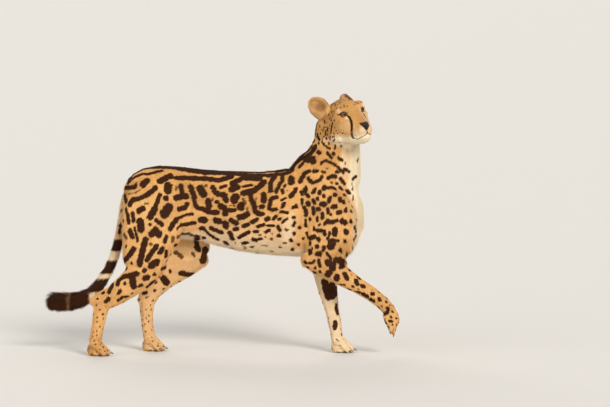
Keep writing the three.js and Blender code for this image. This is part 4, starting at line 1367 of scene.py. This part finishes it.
class Hide:
    """The finished skin as arrays, from which tufts are planted."""

    FIELDS = ["length", "width", "lift", "bare", "lid", "lip", "pale", "shag"]

    def __init__(self):
        mesh = bpy.data.objects["skin"].data
        self.points, self.triangles = read(mesh)
        self.normals = normals_of(mesh)
        self.flow = np.column_stack([recall(mesh, "flow_" + axis) for axis in "xyz"])
        columns = [recall(mesh, n) for n in self.FIELDS] + [recall(mesh, "in_" + n) for n in FLESH]
        self.values = np.column_stack(columns)
        uv = np.empty(len(mesh.loops) * 2, np.float32)
        mesh.uv_layers["OFBake"].data.foreach_get("uv", uv)
        loops = np.empty(len(self.triangles) * 3, np.int32)
        mesh.loop_triangles.foreach_get("loops", loops)
        self.uv = uv.reshape(-1, 2)[loops.reshape(-1, 3)]
        corners = self.points[self.triangles]
        across = np.cross(corners[:, 1] - corners[:, 0], corners[:, 2] - corners[:, 0])
        self.areas = np.linalg.norm(across, axis=1) / 2
        self.middles = corners.mean(1)
        self.faces = self.values[self.triangles].mean(1)
        self.owner = np.argmax(self.faces[:, len(self.FIELDS):], axis=1)
        lid, lip, bare = (self.faces[:, self.FIELDS.index(n)] for n in ("lid", "lip", "bare"))
        self.shaved = (bare > 0.5) | (lid < 0.9) | (lip < 0.5)

    def field(self, name, rows=None):
        """One stored value: of every face, or taken out of the rows given."""
        rows = self.faces if rows is None else rows
        return rows[:, self.FIELDS.index(name)]

    def plant(self, label, need, count, material, rng, rings=1, **shaggy):
        """Plants count tufts where need asks for them, in pieces of fewer than 200,000 faces."""
        most = 33000 if rings == 1 else 16500
        pieces = -(-count // most)
        chosen, inside = sown(need, count, rng)
        for piece in range(pieces):
            rows = slice(piece * count // pieces, (piece + 1) * count // pieces)
            name = label if pieces == 1 else f"{label}_{piece + 1}"
            self.plant_piece(name, chosen[rows], inside[rows, :, None], material, rng, rings, **shaggy)

    def plant_piece(
        self, name, chosen, inside, material, rng, rings, longer=0.0, raised=0.0, sag=0.0, messy=0.14
    ):
        """One piece of tufts. longer, in millimetres, and raised act where the coat is shaggy."""

        def blend(field):
            return (field[self.triangles[chosen]] * inside).sum(1)

        total = len(chosen)
        root, normal, value = blend(self.points), unit(blend(self.normals)), blend(self.values)
        way = unit(blend(self.flow) + rng.normal(scale=messy, size=root.shape))
        way = unit(way - normal * (way * normal).sum(1, keepdims=True))
        shag = self.field("shag", value)
        length = (self.field("length", value) + longer * shag) * rng.uniform(0.75, 1.2, total) * MM
        width = self.field("width", value) * rng.uniform(0.8, 1.15, total) * MM
        lift = (self.field("lift", value) + raised * shag) * rng.uniform(0.6, 1.6, total)
        place = (self.uv[chosen] * inside).sum(1)
        size = np.column_stack([length, width, lift])
        thing, each = tuft_mesh(name, root, way, normal, size, place, material, rings, sag)
        weight = dict(zip(FLESH, value[:, len(self.FIELDS):].T))
        lid, lip, pale = (self.field(n, value) for n in ("lid", "lip", "pale"))
        outer = blend(FORM["outer"])
        along = []
        for ring in range(rings + 1):
            reach = np.minimum(length[:, None] * (ring + 1) / (rings + 1), 0.013)
            sample = outer + way * reach
            along.append(full_ink(sample, normal, weight, np.zeros(total), lid, lip, pale))
        columns = [0] + [ring for ring in range(rings) for _ in range(3)] + [rings]
        remember(thing.data, "ink", np.column_stack([along[k] for k in columns]).ravel())
        for key, field in (("pale", pale), ("shade", rng.uniform(size=total))):
            remember(thing.data, key, np.repeat(field, each))
        finished(thing, "coat")


# ---------- eyes, pads, claws and whiskers ----------
def eye_look(side, matrix, eyes):
    """Dark pupil, amber iris with fine rays and a dark rim, under a clear wet surface."""
    nodes = Nodes(side + "_eye")
    mapping = nodes.add("Mapping", vector_type="TEXTURE")
    nodes.put(mapping.inputs["Vector"], nodes.add("TexCoord").outputs["Object"])
    mapping.inputs["Location"].default_value = matrix.to_translation()
    mapping.inputs["Rotation"].default_value = matrix.to_euler()
    parts = nodes.add("SeparateXYZ")
    nodes.put(parts.inputs[0], mapping.outputs[0])
    x, y, z = parts.outputs
    squares = nodes.math("ADD", nodes.math("MULTIPLY", x, x), nodes.math("MULTIPLY", y, y))
    out = nodes.math("SQRT", squares)
    angle = nodes.math("ARCTAN2", out, z)
    around = nodes.math("ARCTAN2", y, x)
    rays = nodes.add("TexNoise", noise_dimensions="1D")
    nodes.put(rays.inputs["W"], around)
    rays.inputs["Scale"].default_value = 14.0
    rays.inputs["Detail"].default_value = 4.0
    bright = tuple(min(1.0, c * f) for c, f in zip(eyes.iris, (1.5, 1.6, 1.3)))
    iris = nodes.mix(nodes.range(rays.outputs[0], 0.3, 0.7), opaque(eyes.iris), opaque(bright))
    rim = nodes.range(angle, math.radians(38), math.radians(47))
    colour = nodes.mix(rim, iris, opaque((0.030, 0.016, 0.010)))
    edge = nodes.range(angle, eyes.pupil - 0.02, eyes.pupil + 0.02)
    colour = nodes.mix(edge, opaque((0.004, 0.003, 0.003)), colour)
    nodes.put(nodes.shader.inputs["Base Color"], colour)
    nodes.shader.inputs["Roughness"].default_value = 0.25
    nodes.shader.inputs["Specular IOR Level"].default_value = 0.1
    nodes.shader.inputs["Coat Weight"].default_value = 0.14
    nodes.shader.inputs["Coat Roughness"].default_value = 0.03
    return nodes.material


def make_eye(side, eyes):
    """An eyeball with a raised cornea, looking the way the head faces."""
    low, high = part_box(side + "_eye")
    centre = (low + high) / 2
    radius = (high - low).x / 2
    gaze = Vector(turned(HEAD, (0.92, 0.34 * SIDES[side], -0.04)))
    matrix = Matrix.Translation(centre) @ gaze.to_track_quat("Z", "Y").to_matrix().to_4x4()
    only(None)
    bpy.ops.mesh.primitive_uv_sphere_add(segments=40, ring_count=28, radius=radius)
    ball = bpy.context.object
    ball.name = ball.data.name = side + "_eyeball"
    points, _ = read(ball.data)
    tilt = np.arccos(np.clip(points[:, 2] / radius, -1, 1))
    bulge = 0.0010 * smooth(math.radians(42), math.radians(20), tilt)
    write_points(ball.data, carried(matrix, points * (1 + bulge / radius)[:, None]))
    only(ball)
    bpy.ops.object.shade_smooth()
    ball.data.materials.append(eye_look(side, matrix, eyes))
    return finished(ball, "eye", side + "_eye")


def horn_look():
    """Claw horn in streaks, from a dark brown to a paler one."""
    nodes = Nodes("claw_horn")
    streak = nodes.noise(180.0, 4.0)
    root, tip = (0.085, 0.055, 0.038), (0.24, 0.17, 0.11)
    colour = nodes.mix(nodes.range(streak, 0.3, 0.75), opaque(root), opaque(tip))
    nodes.put(nodes.shader.inputs["Base Color"], colour)
    nodes.shader.inputs["Roughness"].default_value = 0.32
    nodes.bump(streak, 0.0003)
    return nodes.material


def pad_look():
    """Dark, dull and grainy skin of the foot pads."""
    nodes = Nodes("paw_pad")
    grain = nodes.noise(650.0, 4.0)
    nodes.put(
        nodes.shader.inputs["Base Color"],
        nodes.mix(grain, opaque((0.030, 0.020, 0.017)), opaque((0.085, 0.060, 0.050))),
    )
    nodes.shader.inputs["Roughness"].default_value = 0.6
    nodes.bump(grain, 0.0006)
    return nodes.material


def make_pads(tree, paw, centres, facing, back, material):
    """Four toe pads and the three-lobed pad behind them, let into the sole."""
    sole = -back
    middle = centres.mean(0)
    places = [(c - facing * 0.022, (0.0105, 0.0075, 0.0045)) for c in centres]
    places += [
        (middle - facing * 0.056 + np.array((0, across, 0)), (0.014, 0.0105, 0.005))
        for across in (-0.013, 0.0, 0.013)
    ]
    lumps = []
    for start, size in places:
        hit = tree.ray_cast(Vector(start), Vector(sole))[0]
        if not hit:
            continue
        turn = Matrix((facing, (0, 1, 0), -sole)).transposed()
        only(None)
        bpy.ops.mesh.primitive_uv_sphere_add(segments=20, ring_count=12, radius=1)
        lump = bpy.context.object
        points, _ = read(lump.data)
        points[:, 1] *= 1 - 0.25 * smooth(0, 1, points[:, 0])
        place = Matrix.Translation(hit - Vector(sole) * 0.0025) @ turn.to_4x4()
        place = place @ Matrix.Diagonal((*size, 1))
        placed = carried(place, points)
        placed[:, 2] = np.maximum(placed[:, 2], 0.0)
        write_points(lump.data, placed)
        lumps.append(lump)
    only(lumps[0])
    for lump in lumps:
        lump.select_set(True)
    bpy.ops.object.join()
    pads = bpy.context.view_layer.objects.active
    pads.name = pads.data.name = paw + "_pads"
    bpy.ops.object.shade_smooth()
    pads.data.materials.append(material)
    return finished(pads, "coat")


def make_whiskers(tree, side):
    """Three rows of whiskers on one side of the muzzle."""
    sign = SIDES[side]
    rng = np.random.default_rng(5)
    starts = [
        ((138 - 5 * k, sign * (13 + 5.5 * k), -33 - 6 * row), 52 + 9 * k - 4 * row)
        for row in range(3) for k in range(3)
    ]
    hairs = []
    for (x, y, z), length in starts:
        spot = tree.find_nearest(HEAD @ Vector((x, y, z)))[0]
        lean = (-0.5, sign * 1.0, rng.uniform(-0.45, -0.1))
        way = Vector(turned(HEAD, lean))
        only(None)
        bpy.ops.mesh.primitive_cone_add(
            vertices=6, radius1=0.00024, radius2=0.00006, depth=length * MM
        )
        hair = bpy.context.object
        edit(hair, [True] * len(hair.data.polygons), lambda: bpy.ops.mesh.subdivide(number_cuts=6))
        points, _ = read(hair.data)
        t = points[:, 2] / (length * MM) + 0.5
        points[:, 2] += length * MM / 2 - 0.002
        place = Matrix.Translation(spot) @ way.to_track_quat("Z", "Y").to_matrix().to_4x4()
        placed = carried(place, points)
        placed[:, 2] -= 0.16 * length * MM * t * t
        write_points(hair.data, placed)
        hairs.append(hair)
    only(hairs[0])
    for hair in hairs:
        hair.select_set(True)
    bpy.ops.object.join()
    whiskers = bpy.context.view_layer.objects.active
    whiskers.name = whiskers.data.name = side + "_whiskers"
    bpy.ops.object.shade_smooth()
    nodes = Nodes(side + "_whisker")
    tone = nodes.noise(60.0)
    colour = nodes.mix(tone, opaque((0.85, 0.80, 0.72)), opaque((0.6, 0.54, 0.45)))
    nodes.put(nodes.shader.inputs["Base Color"], colour)
    nodes.shader.inputs["Roughness"].default_value = 0.4
    whiskers.data.materials.append(nodes.material)
    return finished(whiskers, "coat")


# ---------- operators ----------
class CHEETAH_OT_stage(bpy.types.Operator):
    """Set the pale floor, the soft lights and the camera"""

    bl_idname = "cheetah.stage"
    bl_label = "Stage"

    def execute(self, context):
        scene = context.scene
        stage = scene.cheetah_stage
        only(None)
        bpy.ops.mesh.primitive_plane_add(size=260)
        floor = context.object
        floor.name = "floor"
        nodes = Nodes("floor_paper")
        tone = nodes.noise(3.0)
        soft = [c * 0.985 for c in stage.floor_colour]
        colour = nodes.mix(tone, opaque(stage.floor_colour), opaque(soft))
        nodes.put(nodes.shader.inputs["Base Color"], colour)
        nodes.shader.inputs["Roughness"].default_value = 0.95
        nodes.shader.inputs["Specular IOR Level"].default_value = 0.1
        floor.data.materials.append(nodes.material)

        world = bpy.data.worlds.new("studio")
        world.use_nodes = True
        scene.world = world
        tree = world.node_tree
        ambient = tree.nodes["Background"]
        ambient.inputs["Color"].default_value = (1.0, 0.98, 0.95, 1)
        ambient.inputs["Strength"].default_value = 0.42
        seen = tree.nodes.new("ShaderNodeBackground")
        seen.inputs["Color"].default_value = opaque(stage.floor_colour)
        path = tree.nodes.new("ShaderNodeLightPath")
        either = tree.nodes.new("ShaderNodeMath")
        either.operation = "MAXIMUM"
        choose = tree.nodes.new("ShaderNodeMixShader")
        tree.links.new(path.outputs["Is Camera Ray"], either.inputs[0])
        tree.links.new(path.outputs["Is Glossy Ray"], either.inputs[1])
        tree.links.new(either.outputs[0], choose.inputs[0])
        tree.links.new(ambient.outputs[0], choose.inputs[1])
        tree.links.new(seen.outputs[0], choose.inputs[2])
        tree.links.new(choose.outputs[0], tree.nodes["World Output"].inputs["Surface"])

        lamps = (
            ("key", (0.50, -0.85, 0.62), 22, 2.2, (1.0, 0.96, 0.90)),
            ("fill", (-0.75, -0.60, 0.35), 60, 0.9, (1.0, 0.98, 0.95)),
            ("back", (-0.25, 0.85, 0.50), 50, 1.2, (1.0, 0.98, 0.95)),
        )
        for name, place, spread_angle, power, colour in lamps:
            lamp = bpy.data.lights.new(name, "SUN")
            lamp.angle = math.radians(spread_angle)
            lamp.energy = power
            lamp.color = colour
            thing = bpy.data.objects.new(name, lamp)
            scene.collection.objects.link(thing)
            thing.location = Vector(place) * 5
            thing.rotation_euler = (-Vector(place)).to_track_quat("-Z", "Y").to_euler()

        eye, target, _ = view_axes()
        camera = bpy.data.objects.new("camera", bpy.data.cameras.new("camera"))
        scene.collection.objects.link(camera)
        camera.location = eye
        camera.rotation_euler = (target - eye).to_track_quat("-Z", "Y").to_euler()
        camera.data.sensor_width = 36
        camera.data.lens = stage.lens
        camera.data.clip_end = 400
        scene.camera = camera
        scene.view_settings.view_transform = "Standard"
        return {"FINISHED"}


class CHEETAH_OT_skin(bpy.types.Operator):
    """Join the flesh into one skin and shape its folds, lids, nose, lips and toes"""

    bl_idname = "cheetah.skin"
    bl_label = "Skin"

    def execute(self, context):
        skin = make_skin(context.scene.cheetah_skin)
        outer, triangles = carve_skin(skin)
        only(skin)
        bpy.ops.object.shade_smooth()
        bpy.ops.object.mode_set(mode="EDIT")
        bpy.ops.mesh.select_all(action="SELECT")
        bpy.ops.uv.smart_project(angle_limit=math.radians(66), island_margin=0.002)
        bpy.ops.object.mode_set(mode="OBJECT")
        skin.data.uv_layers[0].name = "OFBake"
        skin.data.materials.clear()
        skin.data.materials.append(skin_look(context.scene.cheetah_coat))
        FORM["outer"], FORM["triangles"] = outer, triangles
        finished(skin, "coat", *FLESH)
        return {"FINISHED"}


class CHEETAH_OT_markings(bpy.types.Operator):
    """Lay the stripes, spots, pale places and painted shade on the skin"""

    bl_idname = "cheetah.markings"
    bl_label = "Markings"

    def execute(self, context):
        mesh = bpy.data.objects["skin"].data
        outer, triangles = FORM["outer"], FORM["triangles"]
        normals = normals_of(mesh)
        weight = {name: recall(mesh, "in_" + name) for name in FLESH}
        pale = pale_amount(outer, normals, weight)
        FORM["trails"] = draw_marks(outer, triangles, normals, weight, pale)
        bare, lid, lip = (recall(mesh, name) for name in ("bare", "lid", "lip"))
        remember(mesh, "pale", pale)
        remember(mesh, "shag", shag_amount(outer, normals, weight))
        remember(mesh, "ink", full_ink(outer, normals, weight, bare, lid, lip, pale))
        return {"FINISHED"}


class CHEETAH_OT_coat(bpy.types.Operator):
    """Grow the short coat as solid tufts that carry the skin's pattern"""

    bl_idname = "cheetah.coat"
    bl_label = "Coat"

    def execute(self, context):
        coat = context.scene.cheetah_coat
        hide = Hide()
        material = coat_look(coat)
        rng = np.random.default_rng(3)
        need = np.where(hide.shaved, 0, hide.areas / (hide.field("length") * hide.field("width")))
        along = hide.middles[:, 0] - ZERO.x
        trunk = hide.owner == FLESH.index("trunk")
        groups = {
            "head": np.isin(hide.owner, [FLESH.index(n) for n in ("head",) + EARS]),
            "neck": hide.owner == FLESH.index("neck"),
            "tail": hide.owner == FLESH.index("tail"),
            "shoulders": trunk & (along > 0.12),
            "barrel": trunk & (along <= 0.12) & (along > -0.2),
            "haunches": trunk & (along <= -0.2),
        }
        groups.update({name: hide.owner == FLESH.index(name) for name in LEGS})
        for name, mine in groups.items():
            ours = np.where(mine, need, 0)
            count = int(coat.tufts * ours.sum() / need.sum())
            hide.plant("coat_" + name, ours, count, material, rng)
        return {"FINISHED"}


class CHEETAH_OT_long_hair(bpy.types.Operator):
    """Add the longer hair of the nape, throat, chest, belly, cheeks and tail"""

    bl_idname = "cheetah.long_hair"
    bl_label = "Long hair"

    def execute(self, context):
        coat = context.scene.cheetah_coat
        hide = Hide()
        material = bpy.data.materials["cheetah_hair"]
        rng = np.random.default_rng(4)
        shag = hide.field("shag")
        need = np.where(hide.shaved, 0, hide.areas * shag / hide.field("width"))
        tail = hide.owner == FLESH.index("tail")
        head = np.isin(hide.owner, [FLESH.index(n) for n in ("head",) + EARS])
        for name, mine, shaggy in (
            ("long_hair_head", head, {"longer": 11, "raised": 0.22, "sag": 0.10}),
            ("long_hair_tail", tail, {"longer": 14, "raised": 0.15, "sag": 0.05}),
            ("long_hair_body", ~(tail | head), {"longer": 17, "raised": 0.14, "sag": 0.20}),
        ):
            ours = np.where(mine, need, 0)
            count = int(coat.long_tufts * ours.sum() / need.sum())
            hide.plant(name, ours, count, material, rng, rings=2, messy=0.16, **shaggy)
        return {"FINISHED"}


class CHEETAH_OT_eyes(bpy.types.Operator):
    """Model both eyes, which look the way the head faces"""

    bl_idname = "cheetah.eyes"
    bl_label = "Eyes"

    def execute(self, context):
        for side in SIDES:
            make_eye(side, context.scene.cheetah_eyes)
        return {"FINISHED"}


class CHEETAH_OT_feet(bpy.types.Operator):
    """Finish the claws in horn and set the pads into the soles"""

    bl_idname = "cheetah.feet"
    bl_label = "Claws and pads"

    def execute(self, context):
        horn = horn_look()
        for name in CLAWS:
            frame["nodes"][name].material_slots[0].material = horn
        points, triangles = read(bpy.data.objects["skin"].data)
        tree = tree_of(points, triangles)
        leather_look = pad_look()
        for paw, (centres, facing, back) in paw_frames().items():
            make_pads(tree, paw, centres, facing, back, leather_look)
        return {"FINISHED"}


class CHEETAH_OT_whiskers(bpy.types.Operator):
    """Set the whiskers into the muzzle"""

    bl_idname = "cheetah.whiskers"
    bl_label = "Whiskers"

    def execute(self, context):
        points, triangles = read(bpy.data.objects["skin"].data)
        tree = tree_of(points, triangles)
        for side in SIDES:
            make_whiskers(tree, side)
        return {"FINISHED"}


STEPS = ("stage", "skin", "markings", "coat", "long_hair", "eyes", "feet", "whiskers")
SETTINGS = {
    "cheetah_stage": CheetahStage,
    "cheetah_skin": CheetahSkin,
    "cheetah_coat": CheetahCoat,
    "cheetah_eyes": CheetahEyes,
}


class CHEETAH_PT_panel(bpy.types.Panel):
    bl_idname = "CHEETAH_PT_panel"
    bl_label = "King cheetah"
    bl_space_type = "VIEW_3D"
    bl_region_type = "UI"
    bl_category = "Cheetah"

    def draw(self, context):
        for name, group in SETTINGS.items():
            settings = getattr(context.scene, name)
            for key in group.__annotations__:
                self.layout.prop(settings, key)
        for step in STEPS:
            self.layout.operator("cheetah." + step)


CLASSES = (
    CheetahStage, CheetahSkin, CheetahCoat, CheetahEyes, CHEETAH_OT_stage, CHEETAH_OT_skin,
    CHEETAH_OT_markings, CHEETAH_OT_coat, CHEETAH_OT_long_hair, CHEETAH_OT_eyes, CHEETAH_OT_feet,
    CHEETAH_OT_whiskers, CHEETAH_PT_panel,
)


def register():
    for each in CLASSES:
        bpy.utils.register_class(each)
    for name, group in SETTINGS.items():
        setattr(bpy.types.Scene, name, PointerProperty(type=group))


def unregister():
    for name in SETTINGS:
        delattr(bpy.types.Scene, name)
    for each in reversed(CLASSES):
        bpy.utils.unregister_class(each)


def main():
    register()
    for step in STEPS:
        getattr(bpy.ops.cheetah, step)()
    bpy.context.view_layer.update()


if __name__ == "__main__":
    main()
